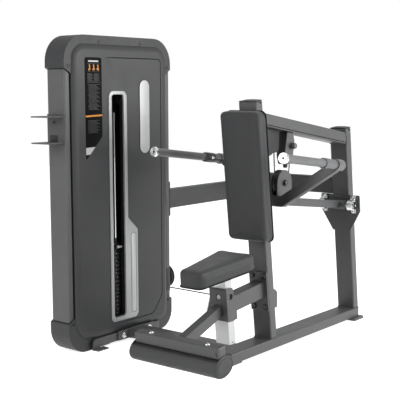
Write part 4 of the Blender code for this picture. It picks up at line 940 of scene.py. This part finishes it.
end_line = [(0.0285, 0.0002), (0.0150, 0.0002), (0.0141, 0.0006), (0.0137, 0.0020), (0.0114, 0.0020), (0.0110, 0.0006), (0.0092, 0.0)]
for k in range(1, 9):
    a = math.pi / 2 * k / 8
    end_line.append((0.0092 * (1 - math.sin(a)), 0.0092 * (1 - math.cos(a))))
rings = [oval_ring(less, PAD_X[0] + off) for less, off in end_line]
rings += [oval_ring(0.0, PAD_X[0] + (PAD_X[1] - PAD_X[0]) * k / 8) for k in range(1, 8)]
rings += [oval_ring(less, PAD_X[1] - off) for less, off in reversed(end_line)]
foot_pad = Shape().add(loft(rings), FACE).piece("foot_pad_foam", None, None, RUBBER)
bar_section = [(-0.0284, -0.0254), (0.0244, -0.0254), (0.0244, 0.0600), (-0.0284, 0.0600)]
bar_room = Shape().add(slab(bar_section, 0.4260, 0.8950), axes(LEAN_REAR, LEAN_UP, (1, 0, 0), BAR.translation))
brace_section = [(-0.0900, 0.1474), (-0.0150, 0.1474), (-0.0150, 0.2000), (-0.0900, 0.2000)]
gap_section = [(-0.0600, -0.0296), (-0.0100, -0.0296), (-0.0100, 0.0600), (-0.0600, 0.0600)]
gap_room = Shape().add(slab(gap_section, 0.4264, 0.8946), axes(LEAN_REAR, LEAN_UP, (1, 0, 0), BAR.translation))
carve(foot_pad, bar_room, gap_room, Shape().add(slab([Vector(q) for q in brace_section], MID_X - 0.0206, MID_X + 0.0206), FACE))
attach(foot_pad, "frame")
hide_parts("foot_pad")

# ---------------------------------------------------------------- movement arm
ARM_REST = math.radians(7.1)
PIVOT = Vector((MID_X, 1.2065, 0.640))
ARM_U = Vector((0, math.cos(ARM_REST), -math.sin(ARM_REST)))
ARM_V = Vector((0, math.sin(ARM_REST), math.cos(ARM_REST)))
ARM_FRAME = axes((1, 0, 0), ARM_U, ARM_V, PIVOT)
YOKE = axes((1, 0, 0), ARM_V, -ARM_U, PIVOT)
half = [(0.0503, -0.025), (0.320, 0.1562), (0.338, 0.172), (0.330, 0.1955), (0.290, 0.1955), (0.0363, 0.025)]
yoke_outline = fillet(half + [(-x, v) for x, v in reversed(half)], [0.006, 0.004, 0.006, 0.006, 0.008, 0.006] + [0.006, 0.008, 0.006, 0.006, 0.004, 0.006], 4)
yoke = Shape().add(slab(yoke_outline, 0.5686, 0.6066, 0.004, 0.004, 4), YOKE)


def on_arm(x, u, v):
    return ARM_FRAME @ Vector((x, u, v))


def handle_frame(side):
    rear, front = on_arm(side * 0.3277, -0.5655, 0.188), on_arm(side * 0.356, -1.0965, 0.188)
    ahead = (front - rear).normalized()
    x = (Vector((1, 0, 0)) - ahead * ahead.x).normalized()
    return axes(x, ahead.cross(x), ahead, rear), (front - rear).length


def soft(profile, radius, steps=3):
    """Rounds the corners of a turned profile."""
    return [(p.x, p.y) for p in fillet([Vector(q) for q in profile], radius, steps, closed=False)]


def ring_form(profile, steps=48):
    """A ring with a hollow middle, from a closed profile of (radius, height) points."""
    return loft([[(r * math.cos(2 * math.pi * i / steps), r * math.sin(2 * math.pi * i / steps), z) for i in range(steps)] for r, z in profile], closed=True)


sleeves, locks, studs = Shape(), Shape(), Shape()
for side in (-1, 1):
    at, length = handle_frame(side)
    inward = at @ Matrix.Translation((-side * 0.004, 0, 0))
    sleeves.add(ring_form([(0.0192, 0.0020), (0.0192, 0.0636), (0.0258, 0.0636), (0.0265, 0.0629), (0.0265, 0.0020)]), at, 0)
    sleeves.add(turned(soft([(0, -0.0010), (0.0225, -0.0010), (0.0265, 0.0012), (0.0265, 0.0022), (0, 0.0022)], 0.0010, 4), 48), at, 0)
    sleeves.add(ring_form([(0.0190, 0.0640), (0.0190, 0.1745), (0.0217, 0.1745), (0.0225, 0.1737), (0.0225, 0.0640)]), at, 0)
    locks.add(ring_form([(0.0200, 0.0632), (0.0200, 0.0668), (0.0240, 0.0668), (0.0244, 0.0664), (0.0244, 0.0634)]), at)
    locks.add(ring_form([(0.0220, 0.0796), (0.0220, 0.0814), (0.0229, 0.0812), (0.0229, 0.0798)]), at)
    locks.add(ring_form([(0.0212, 0.1140), (0.0212, 0.1752), (0.0226, 0.1752), (0.0240, 0.1700), (0.0243, 0.1560), (0.0243, 0.1400), (0.0238, 0.1152), (0.0228, 0.1140)]), inward)
    studs.add(socket_head(0.0072, 0.0100, dome=0.2), at @ axes((0, 0, 1), (0, -side, 0), (-side, 0, 0), (-side * 0.0265, 0, 0.145)))
    name = "left" if side > 0 else "right"
    grip = soft(
        [(0, 0.0310), (0.0165, 0.0310), (0.0165, 0.1762), (0.0196, 0.1768), (0.0196, 0.1806), (0.0184, 0.1820), (0.0184, length - 0.0215), (0.0196, length - 0.0200), (0.0196, length - 0.0150), (0.0180, length - 0.0142), (0, length - 0.0142)],
        0.0007,
    )
    Shape().add(turned(grip, 48), at).piece("grip_sleeve_" + name, "grip_" + name, "frame_paint", GRIP_RUBBER, replaces=("handle_" + name,))
    end = length - 0.0139
    cap = soft(
        [(0, end), (0.0228, end), (0.0240, end + 0.0014), (0.0240, end + 0.0105), (0.0208, end + 0.0137), (0.0165, end + 0.0137), (0.0158, end + 0.0126), (0.0142, end + 0.0126), (0.0135, end + 0.0134), (0.0085, end + 0.0134), (0.0078, end + 0.0120), (0, end + 0.0120)],
        0.0006,
    )
    Shape().add(turned(cap, 56), at).piece("grip_cap_" + name, "grip_" + name, "chrome", CHROME, replaces=("handle_cap_" + name,))
    Shape().add(socket_head(0.0052, 0.0014, dome=0.1), at @ Matrix.Translation((0, 0, end + 0.0118))).piece("grip_cap_screw_" + name, "grip_" + name, "bearing_housing", BLACK_BOLT)
yoke.piece("yoke_bar", "arm", "frame_paint", FRAME_PAINT, replaces=("arm_yoke",))
sleeves.piece("yoke_sleeves", "arm", "frame_paint", LIGHT_PAINT)
locks.piece("yoke_lock_rings", "arm", "black_plastic", BLACK_NYLON)
studs.piece("yoke_lock_screws", "arm", "bearing_housing", ZINC)

# ---------------------------------------------------------------- cable wheels
WHEEL = [(0.0172, 0.0128), (0.0172, 0.0075), (0.0200, 0.0066), (0.0440, 0.0066), (0.0468, 0.0080), (0.0480, 0.0120), (0.0600, 0.0120), (0.0625, 0.0100), (0.0618, 0.0082)]
GROOVE = [(0.0547 + 0.0036 * (1 - math.cos(a)), 0.0040 * math.sin(a)) for a in [math.radians(80 - 20 * k) for k in range(9)]]
wheel_line = soft(WHEEL, 0.0008, 3) + GROOVE + [(r, -z) for r, z in reversed(soft(WHEEL, 0.0008, 3))]
ARM_WHEEL = Vector((MID_X, 0.670, 0.797))
UPPER_WHEEL = Vector((MID_X, 0.5435, 0.995))
REDIRECT_WHEEL = Vector((0.6027, 0.570, 0.272))
SIDE_WHEEL = Vector((-0.0580, 0.635, 0.2585))
CORNER_WHEEL = Vector((-0.0735, 0.5942, 1.195))
TOP_WHEEL = Vector((-0.0585, 0.2843, 1.195))
ALONG_X = axes((0, 1, 0), (0, 0, 1), (1, 0, 0))
ALONG_Y = axes((0, 0, 1), (1, 0, 0), (0, 1, 0))
for name, body, node, middle, way in (
    ("arm_wheel_nylon", "arm_wheel", "arm_pulley", ARM_WHEEL, ALONG_X),
    ("upper_wheel_nylon", "upper_wheel", "upper_pulley", UPPER_WHEEL, ALONG_X),
    ("redirect_wheel_nylon", "redirect_wheel", "redirect_pulley", REDIRECT_WHEEL, ALONG_Y),
    ("side_wheel_nylon", "side_wheel", "tower_side_pulley", SIDE_WHEEL, ALONG_Y),
    ("corner_wheel_nylon", "corner_wheel", "tower_corner_pulley", CORNER_WHEEL, ALONG_X),
    ("top_wheel_nylon", "top_wheel", "tower_top_pulley", TOP_WHEEL, ALONG_X),
):
    at = Matrix.Translation(middle) @ way
    wheel = Shape()
    wheel.add(loft([[(r * math.cos(2 * math.pi * i / 72), r * math.sin(2 * math.pi * i / 72), z) for i in range(72)] for r, z in wheel_line + [(0.0172, -0.0128)]], closed=True), at)
    for k in range(6):
        a = math.pi / 3 * k
        rib = at @ Matrix.Rotation(a, 4, "Z")
        for s in (-1, 1):
            outline = fillet([(0.017, -0.0016), (0.047, -0.0016), (0.047, 0.0016), (0.017, 0.0016)], 0.0005, 2)
            wheel.add(slab(outline, 0.0060 if s > 0 else -0.0100, 0.0100 if s > 0 else -0.0060, 0.0003, 0.0003, 1), rib)
    wheel.piece(name, body, "black_plastic", BLACK_NYLON, replaces=(node,))
    race = [(0.0087, -0.0118), (0.0087, 0.0118), (0.0118, 0.0118), (0.0122, 0.0112), (0.0148, 0.0112), (0.0152, 0.0118), (0.0172, 0.0118), (0.0172, -0.0118), (0.0152, -0.0118), (0.0148, -0.0112), (0.0122, -0.0112), (0.0118, -0.0118)]
    Shape().add(loft([[(r * math.cos(2 * math.pi * i / 48), r * math.sin(2 * math.pi * i / 48), z) for i in range(48)] for r, z in race], closed=True), at).piece(
        body + "_race", body, "bearing_housing", BEARING
    )

# ---------------------------------------------------------------- cable
CABLE_PITCH, CABLE_R = 0.0583, 0.0030
X_, Y_, Z_ = (1, 0, 0), (0, 1, 0), (0, 0, 1)


def wrap(middle, first, second, start, end, step=4):
    first, second = Vector(first), Vector(second)
    count = max(2, round(abs(end - start) / step) + 1)
    made = []
    for i in range(count):
        a = math.radians(start + (end - start) * i / (count - 1))
        made.append(middle + CABLE_PITCH * (math.cos(a) * first + math.sin(a) * second))
    return made


run = wrap(UPPER_WHEEL, Y_, Z_, 2, 186)
run += wrap(REDIRECT_WHEEL, X_, Z_, 0, -90)
run += wrap(SIDE_WHEEL, X_, Z_, -90, -180)
run += wrap(CORNER_WHEEL, Y_, Z_, 0, 90)
run += wrap(TOP_WHEEL, Y_, Z_, 90, 178)
Shape().add(swept(run, CABLE_R, 12)).piece("cable_route", "frame", "cable_jacket", JACKET, replaces=("cable_run",))
loop = wrap(ARM_WHEEL, Y_, Z_, -196, -3)
Shape().add(swept(loop, CABLE_R, 12)).piece("cable_loop", "arm", "cable_jacket", JACKET, replaces=("cable_arm_loop",))


def strand(name, top, low, node, whole):
    """A straight length of cable between two points, with its rings crowded near the lower end unless whole is set."""
    top, low = Vector(top), Vector(low)
    length = (top - low).length
    last = 0.010
    marks = [k / 6 * (length - last) for k in range(6)] + [length - last * (1 - k / 24) for k in range(25)]
    if whole:
        marks = [length * k / 60 for k in range(61)]
    points = [top.lerp(low, m / length) for m in marks]
    form = swept(points, CABLE_R, 12)
    made = Shape().add(form).piece(name, None, "cable_jacket", JACKET, replaces=(node,), sharp=70)
    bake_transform(made)
    return made


strand("cable_strand_front", run[0], loop[0], "cable_front_strand", False)
strand("cable_strand_rear", (MID_X, 0.742, 0.899), loop[-1], "cable_rear_strand", False)
strand("cable_strand_stack", run[-1], (STACK_X, STACK_Y, 0.520), "cable_stack_strand", True)
ferrules = Shape()
ferrules.add(turned(soft([(0, 0.0), (0.0048, 0.0), (0.0048, 0.0260), (0.0036, 0.0290), (0, 0.0290)], 0.0006), 28), axes((1, 0, 0), (0, -1, 0), (0, 0, -1), (MID_X, 0.742, 0.905)))
ferrules.piece("anchor_ferrule", "frame", "bearing_housing", ZINC)
top_fit = Shape().add(turned(soft([(0, 0.5150), (0.0115, 0.5150), (0.0115, 0.5230), (0.0052, 0.5240), (0.0052, 0.5520), (0.0040, 0.5550), (0, 0.5550)], 0.0006), 28), Matrix.Translation((STACK_X, STACK_Y, 0)))
top_fit.piece("stack_stud", "stack", "bearing_housing", ZINC)

# ---------------------------------------------------------------- pads
def inflate(made, pinned, cap, frames=20, pressure=4.0, stiff=18.0):
    """Swells a closed mesh like a stuffed cover. Points that pinned() names stay put, and none moves beyond cap."""
    group = made.vertex_groups.new(name="held")
    for v in made.data.vertices:
        w = pinned(v.co)
        if w > 0:
            group.add([v.index], w, "REPLACE")
    rest = [v.co.copy() for v in made.data.vertices]
    cloth = made.modifiers.new("swell", "CLOTH")
    cloth.settings.quality = 5
    cloth.settings.mass = 0.35
    cloth.settings.tension_stiffness = stiff
    cloth.settings.compression_stiffness = stiff
    cloth.settings.shear_stiffness = stiff
    cloth.settings.bending_stiffness = 3.0
    cloth.settings.use_pressure = True
    cloth.settings.uniform_pressure_force = pressure
    cloth.settings.vertex_group_mass = "held"
    cloth.settings.effector_weights.gravity = 0
    cloth.collision_settings.use_collision = False
    cloth.collision_settings.use_self_collision = False
    cloth.point_cache.frame_start, cloth.point_cache.frame_end = 1, frames
    for f in range(1, frames + 1):
        scene.frame_set(f)
    seen = bpy.context.evaluated_depsgraph_get()
    swollen = bpy.data.meshes.new_from_object(made.evaluated_get(seen))
    made.modifiers.clear()
    made.vertex_groups.clear()
    moved = [v.co - r for v, r in zip(swollen.vertices, rest)]
    top = max(m.length for m in moved)
    for v, r, m in zip(swollen.vertices, rest, moved):
        if m.length > cap:
            m = m * (cap / m.length)
        v.co = r + m
    made.data = swollen
    scene.frame_set(1)
    print(made.name, "swelled by", round(top * 1000, 1), "mm at most")
    return made


def cushion(name, outline, depth, low_edge, high_edge, to_machine, body, node, held, cap, crown):
    """A stuffed pad. Its outline lies in the local XY plane, its held side at Z = 0."""
    made = Shape().add(slab(outline, 0.0, depth, low_edge, high_edge, 6), to_machine).piece(name, None, None, PAD_LEATHER)
    shell = made.modifiers.new("shell", "REMESH")
    shell.mode, shell.voxel_size = "VOXEL", 0.005
    seen = bpy.context.evaluated_depsgraph_get()
    mesh = bpy.data.meshes.new_from_object(made.evaluated_get(seen))
    made.modifiers.clear()
    made.data = mesh
    back = (SHIFT @ to_machine).inverted()
    centre = sum((Vector(p) for p in outline), Vector((0, 0))) / len(outline)
    wide = max(abs(p[0] - centre[0]) for p in outline)
    long = max(abs(p[1] - centre[1]) for p in outline)
    local = SHIFT @ to_machine
    for v in mesh.vertices:
        q = back @ v.co
        share = max(0.0, min(1.0, (q.z - 0.35 * depth) / (0.65 * depth)))
        u, w = (q.x - centre[0]) / wide, (q.y - centre[1]) / long
        q.z += crown * share * max(0.0, 1 - abs(u) ** 2.4) * max(0.0, 1 - abs(w) ** 2.6)
        v.co = local @ q
    inflate(made, lambda co: max(0.0, min(1.0, (held - (back @ co).z) / 0.006)), cap)
    smooth = made.modifiers.new("smooth", "SMOOTH")
    smooth.factor, smooth.iterations = 0.5, 4
    finer = made.modifiers.new("finer", "SUBSURF")
    finer.levels = finer.render_levels = 1
    seen = bpy.context.evaluated_depsgraph_get()
    mesh = bpy.data.meshes.new_from_object(made.evaluated_get(seen))
    made.modifiers.clear()
    made.data = mesh
    # a sewn channel just above the piping, pressed into the cover after the swelling
    seam = held + 0.0035
    for v in mesh.vertices:
        q = back @ v.co
        off = abs(q.z - seam)
        if off < 0.006:
            inner = Vector((q.x - centre[0], (q.y - centre[1]) * wide / long))
            if inner.length > 0:
                push = 0.0011 * (1 - off / 0.006) ** 2
                way = Vector((inner.x, inner.y)).normalized()
                q.x -= way.x * push
                q.y -= way.y * push
                v.co = local @ q
    for polygon in mesh.polygons:
        polygon.use_smooth = True
    mesh.materials.clear()
    mesh.materials.append(PAD_LEATHER)
    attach(made, body)
    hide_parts(node)
    return made


def around(outline, gap):
    """Points at an even distance along a closed outline."""
    path = [Vector(p) for p in outline] + [Vector(outline[0])]
    lengths = [0.0]
    for a, b in zip(path, path[1:]):
        lengths.append(lengths[-1] + (b - a).length)
    count = int(lengths[-1] / gap)
    made, k = [], 0
    for i in range(count):
        s = lengths[-1] * i / count
        while lengths[k + 1] < s:
            k += 1
        t = (s - lengths[k]) / max(1e-9, lengths[k + 1] - lengths[k])
        made.append((path[k].lerp(path[k + 1], t), (path[k + 1] - path[k]).normalized()))
    return made


def trim(name, outline, z, to_machine, body, cord=0.0034, rise=0.0078, proud=0.0012):
    """Piping round the pad and a row of stitches beside it."""
    path = [to_machine @ Vector((p.x, p.y, z)) for p, _ in around(inset(outline, -proud), 0.005)]
    piping = Shape().add(swept(path, cord, 12, closed=True)).piece(name + "_piping", body, "pad_leather", PIPING, sharp=80)
    stitches = Shape()
    bead = turned([(0, -0.0019), (0.00035, -0.0017), (0.00055, -0.0010), (0.00055, 0.0010), (0.00035, 0.0017), (0, 0.0019)], 8)
    for p, t in around(inset(outline, -0.0002), 0.0052):
        here = Vector((p.x, p.y, z + rise))
        a = to_machine @ here
        way = (to_machine.to_3x3() @ Vector((t.x, t.y, 0))).normalized()
        x = way.orthogonal().normalized()
        stitches.add(bead, axes(x, way.cross(x), way, a))
    stitches.piece(name + "_stitches", body, "pad_leather", THREAD)
    return piping


seat_outline = fillet([(-0.060, -0.040), (0.060, -0.040), (0.104, 0.306), (-0.104, 0.306)], [0.026, 0.026, 0.034, 0.034], 8)
SEAT = axes((1, 0, 0), LEAN_REAR, LEAN_UP, (MID_X, 0, 0.469)) @ Matrix.Translation((0, 0, -0.073))
seat_cover = fillet([(-0.0605, -0.0425), (0.0605, -0.0425), (0.1060, 0.3165), (-0.1060, 0.3165)], [0.026, 0.026, 0.030, 0.030], 8)
cushion("seat_cushion", seat_cover, 0.0775, 0.005, 0.014, SEAT, "seat", "seat_pad", 0.0095, 0.0020, 0.0015)
trim("seat_cushion", inset(seat_cover, 0.0008), 0.0065, SEAT, "seat")

back_outline = fillet([(0.5540, 0.550), (0.7660, 0.550), (0.7660, 1.145), (0.5540, 1.145)], 0.026, 8)
BACK = Matrix(((1, 0, 0, 0), (0, -LEAN, -1, 0.5150), (0, 1, 0, 0), (0, 0, 0, 1)))
back_cover = fillet([(0.5505, 0.5475), (0.7695, 0.5475), (0.7695, 1.1475), (0.5505, 1.1475)], 0.026, 8)
cushion("back_cushion", back_cover, 0.0670, 0.004, 0.016, BACK, "frame", "back_pad", 0.0095, 0.0020, 0.003)
trim("back_cushion", inset(back_cover, 0.0008), 0.0050, BACK, "frame")

# ---------------------------------------------------------------- bolts
bright, dark = Shape(), Shape()
for x in (MID_X - 0.031, MID_X + 0.034):
    for z in (0.222, 0.372):
        dark.add(hex_head(0.0128, 0.0072), facing((x, lean_y(0.526 - 0.0086, z), z), -LEAN_REAR, 0.2))
dome = turned([(0, -0.0004), (0.0138, -0.0004), (0.0138, 0.0010), (0.0112, 0.0018), (0.0108, 0.0040), (0.0092, 0.0056), (0.0058, 0.0067), (0, 0.0071)], 36)
for x in (0.509, 0.819):
    bright.add(dome, BAR @ Matrix.Translation((x, -0.003, 0.0249)))
for x in (-0.062, -0.014):
    for z in (0.606, 0.750):
        dark.add(hex_head(0.0100, 0.0058), facing((x, 0.6184, z), (0, 1, 0), 0.3))
for y in (0.225, 0.415):
    bright.add(hex_head(0.0108, 0.0078), facing((0.0284, y, 0.034), (1, 0, 0), 0.2))
dark.add(hex_head(0.0145, 0.0078), facing(UPPER_WHEEL + Vector((-0.0244, 0, 0)), (-1, 0, 0), 0.4))
dark.add(hex_head(0.0145, 0.0068), facing((0.6027, 0.5898, 0.272), (0, 1, 0), 0.1))
dark.add(hex_head(0.0145, 0.0056), facing((SIDE_WHEEL.x, 0.6482, SIDE_WHEEL.z), (0, 1, 0), 0.5))
knob = soft([(0, 0.6965), (0.0146, 0.6965), (0.0150, 0.7120), (0.0128, 0.7205), (0.0060, 0.7219), (0, 0.7220)], 0.0028, 5)
knob = [(r, z - 0.6965) for r, z in knob]
ring_at = axes((0, 1, 0), (0, 0, 1), (1, 0, 0), (0.6965, 0.7025, 0.975))
Shape().add(turned(knob, 40), ring_at).piece("hanger_knob", "frame", "frame_paint", LIGHT_PAINT)
dark.add(turned([(0, 0), (0.0172, 0), (0.0172, 0.0012), (0.0165, 0.0018), (0, 0.0018)], 36), ring_at)
dark.add(hex_head(0.0125, 0.0070), facing((0.6482, 0.7025, 0.975), (-1, 0, 0), 0.2))
for s in (-1, 1):
    bright.add(hex_head(0.0068, 0.0040, 1.25, 0.0012), facing((MID_X + s * 0.0272, 0.742, 0.905), (s, 0, 0), 0.2))

BEARING_AT = axes(LEAN_UP, LEAN_REAR, (-1, 0, 0), PIVOT)
base = ((1.323 - (0.008 + 0.0006) / math.cos(TILT) - PIVOT.y - LEAN * PIVOT.z) * math.cos(TILT)) - 0.0003
for side in (-1, 1):
    z = -side * 0.0855
    for along in (-0.0385, 0.0385):
        bright.add(hex_head(0.0072, 0.0048, 1.2, 0.0012), BEARING_AT @ Matrix.Translation((along, base - 0.0122, z)) @ Matrix.Rotation(math.pi / 2, 4, "X"))
for side in (-1, 1):
    face = PIVOT + Vector((side * 0.1004, 0, 0))
    at = facing(face, (side, 0, 0))
    ring = soft([(0.0152, 0.0), (0.0152, 0.0012), (0.0182, 0.0014), (0.0190, 0.0006), (0.0225, 0.0006), (0.0232, 0.0018), (0.0264, 0.0018), (0.0272, 0.0004), (0.0272, 0.0)], 0.0004, 2)
    Shape().add(turned(ring, 48), at).piece("bearing_ring_" + ("left" if side > 0 else "right"), "frame", "bearing_housing", BEARING)
    end = soft([(0, 0.0002), (0.0212, 0.0002), (0.0212, 0.0010), (0.0200, 0.0022), (0.0050, 0.0022), (0.0042, 0.0010), (0, 0.0008)], 0.0004, 2)
    Shape().add(turned(end, 40), facing(PIVOT + Vector((side * 0.1078, 0, 0)), (side, 0, 0))).piece(
        "shaft_end_" + ("left" if side > 0 else "right"), "arm", "chrome", SHAFT_FACE
    )
    Shape().add(socket_head(0.0046, 0.0020, dome=0.1), facing(PIVOT + Vector((side * 0.1084, 0, 0)), (side, 0, 0))).piece(
        "shaft_screw_" + ("left" if side > 0 else "right"), "arm", "chrome", ZINC
    )
arm_bolts = Shape()
for s in (-1, 1):
    arm_bolts.add(hex_head(0.0150, 0.0125, 1.22), facing(ARM_WHEEL + Vector((s * 0.0200, 0, 0)), (s, 0, 0), 0.2))
arm_bolts.piece("arm_wheel_bolts", "arm", "bearing_housing", BLACK_BOLT)
bright.piece("bright_bolts", "frame", "bearing_housing", ZINC)
dark.piece("dark_bolts", "frame", "bearing_housing", BLACK_BOLT)

# ---------------------------------------------------------------- welds
welds = Shape()


def rectangle(x, y0, z, y1=None):
    return [(x[0], y0, z[0]), (x[1], y0, z[0]), (x[1], y0 if y1 is None else y1, z[1]), (x[0], y0 if y1 is None else y1, z[1])]


for y0 in (0.526, 1.323):
    a, b = lean_y(y0, 0.0605), lean_y(y0 + 0.0503, 0.0605)
    welds.add(weld([(MID_X - 0.0495, a, 0.0608), (MID_X + 0.0495, a, 0.0608), (MID_X + 0.0495, b, 0.0608), (MID_X - 0.0495, b, 0.0608)], closed=True))


def on_beam(y0, drop):
    y = (y0 - LEAN * (1.131 - drop + 0.156 * 0.501)) / (1 - LEAN * 0.156)
    return y, 1.131 - drop - 0.156 * (y - 0.501)


DROP = 0.060 * math.sqrt(1 + 0.156**2)
for y0, off in ((0.526 + 0.050 / math.cos(TILT), 0.0006), (1.323, -0.0006)):
    ty, tz = on_beam(y0 + off, 0.0)
    by, bz = on_beam(y0 + off, DROP)
    welds.add(weld([(MID_X - 0.0495, ty, tz), (MID_X + 0.0495, ty, tz), (MID_X + 0.0495, by, bz), (MID_X - 0.0495, by, bz)], closed=True))
for z0, z1 in ((0.2680, 0.3445),):
    y0, y1 = lean_y(0.5173, z0), lean_y(0.5173, z1)
    welds.add(weld([(MID_X - 0.0300, y0, z0), (MID_X + 0.0300, y0, z0), (MID_X + 0.0300, y1, z1), (MID_X - 0.0300, y1, z1)], 0.0025, True))
welds.add(weld([(0.0287, 0.266, 0.0115), (0.0287, 0.366, 0.0115), (0.0287, 0.366, 0.0600), (0.0287, 0.266, 0.0600)], 0.0025, True))
welds.add(weld([(0.6105, 0.266, 0.0595), (0.6105, 0.366, 0.0595)], 0.0025))
welds.add(weld([(-0.0500, 0.6190, 0.6285), (0.0, 0.6190, 0.6285), (0.0, 0.6190, 0.7265), (-0.0500, 0.6190, 0.7265)], 0.0026, True))
for s in (-1, 1):
    x = MID_X + s * 0.0495
    welds.add(weld([(x, lean_y(1.3227, z), z) for z in (0.505, 0.560, 0.620, 0.680)], 0.0026))
welds.piece("weld_beads", "frame", "frame_paint", WELD_BEAD)
arm_welds = Shape()
w, h = 0.0250, 0.0250
arm_welds.add(weld([on_arm(x, -0.5684, v) for x, v in ((-w, -h), (w, -h), (w, h), (-w, h))], 0.0026, True))
arm_welds.piece("arm_weld_beads", "arm", "frame_paint", WELD_BEAD)

# ---------------------------------------------------------------- painted shade: black strips for shadow in gaps, slots and under the seat post
gap_shadow_strips = Shape()


def strip(shape, a, b, height, x, thick=0.0004):
    """A thin upright strip on a face that looks along X, between two (y, z) points."""
    a, b = Vector(a), Vector(b)
    n = (b - a).normalized()
    n = Vector((-n.y, n.x)) * height / 2
    shape.add(slab([a - n, b - n, b + n, a + n], 0.0, thick), FACE @ Matrix.Translation((0, 0, x)))


# black strips along both sides of the upper beam, near its lower edge: painted shadow of a gap
side_x = MID_X + 0.0500
for s in (-1, 1):
    x = side_x - 0.0001 if s > 0 else MID_X - 0.0503
    a, b = on_beam(0.5800 + 0.006, 0.0520), on_beam(1.3190, 0.0520)
    strip(gap_shadow_strips, a, b, 0.0032, x)
# black strips for slots on the columns' sides and the foot bar's front: painted shade inside the slots
slot_shadows = Shape()
for y0, y1, z0, z1 in ((0.4120, 0.4280, 1.1835, 1.1853), (1.2216, 1.2427, 1.0330, 1.0355)):
    strip(slot_shadows, (y0, z0), (y1, z1), 0.0046, side_x - 0.0001, 0.0005)
bar_slot = [(0.8775, -0.0125), (0.8805, -0.0125), (0.8805, 0.0070), (0.8775, 0.0070)]
slot_shadows.add(slab([Vector(q) for q in bar_slot], 0.0, 0.0005), BAR @ axes((1, 0, 0), (0, 0, 1), (0, -1, 0), (0, -0.0239, 0)))
# a black strip low on the seat post's side: painted shadow where the post meets the rail
post_foot_shadow = [(0.2186, 0.1090), (0.2323, 0.1090), (0.2323, 0.1120), (0.2186, 0.1120)]
Shape().add(slab([Vector(q) for q in post_foot_shadow], 0.0, 0.0005), FACE @ Matrix.Translation((0, 0, 0.6989))).piece("seat_post_painted_shadow", "seat", "black_plastic", SHADE_BLACK)
gap_shadow_strips.piece("beam_gap_painted_shadow", "frame", "frame_paint", SHADE_BLACK)
slot_shadows.piece("slot_painted_shade", "frame", "frame_paint", SHADE_BLACK)

def beam_under(y):
    return 1.131 - DROP - 0.156 * (y - 0.501) - 0.0004


arc = lambda y, start: [Vector((y + 0.0270 * math.cos(start + math.pi / 2 * k / 8), 0.975 + 0.0270 * math.sin(start + math.pi / 2 * k / 8))) for k in range(9)]
plate = [Vector((0.4860, beam_under(0.4860)))] + arc(0.5130, math.pi) + arc(0.5850, 1.5 * math.pi) + [Vector((0.6120, beam_under(0.6120)))]
plates = Shape()
for low in (MID_X + 0.0185, MID_X - 0.0245):
    plates.add(slab(plate, low, low + 0.0060, 0.0008, 0.0008, 2), FACE)
plates.add(turned([(0, -0.0240), (0.0084, -0.0240), (0.0084, 0.0240), (0, 0.0240)], 32), Matrix.Translation(UPPER_WHEEL) @ ALONG_X)
# the bracket plates and their axle take the darkened paint as painted shade
plates.piece("upper_bracket_plates", "frame", "frame_paint", SHADED_PLATE_PAINT, replaces=("upper_pulley_bracket",))

# the wheel's guard on the tower's rear post, a disc in the sleeve's hole and the seat post's holes
liner_outline = box_outline((0.5800, 0.6080), (0.1900, 0.3150), 0.006, 4)
Shape().add(slab(liner_outline, 0.0028, 0.0042, 0, 0.0006, 2), FACE).piece("wheel_guard", "frame", "black_plastic", BLACK_NYLON)
# a pale disc just inside the sleeve's front hole: painted highlight for the bright post seen through it
hole_highlight_disc = turned(soft([(0, 0), (0.0112, 0), (0.0112, 0.0016), (0.0100, 0.0026), (0, 0.0028)], 0.0006, 3), 36)
Shape().add(hole_highlight_disc, facing((0.6632, lean_y(0.2035 + 0.0050, 0.3245), 0.3245), (0, -1, 0))).piece("sleeve_hole_painted_highlight", "frame", "chrome", PALE_INK_AND_HIGHLIGHT)
# black discs for the seat post's holes: painted shade inside each hole
post_hole_shades = Shape()
for k in range(6):
    z = 0.170 + 0.026 * k
    at = facing((0.623 - 0.0001, lean_y(0.2385, z), z), (-1, 0, 0))
    post_hole_shades.add(turned([(0, 0.0), (0.0068, 0.0), (0.0068, 0.0003), (0.0058, 0.0005), (0, 0.0005)], 28), at)
post_hole_shades.piece("seat_post_hole_shade", "seat", "black_plastic", BLACK_NYLON)
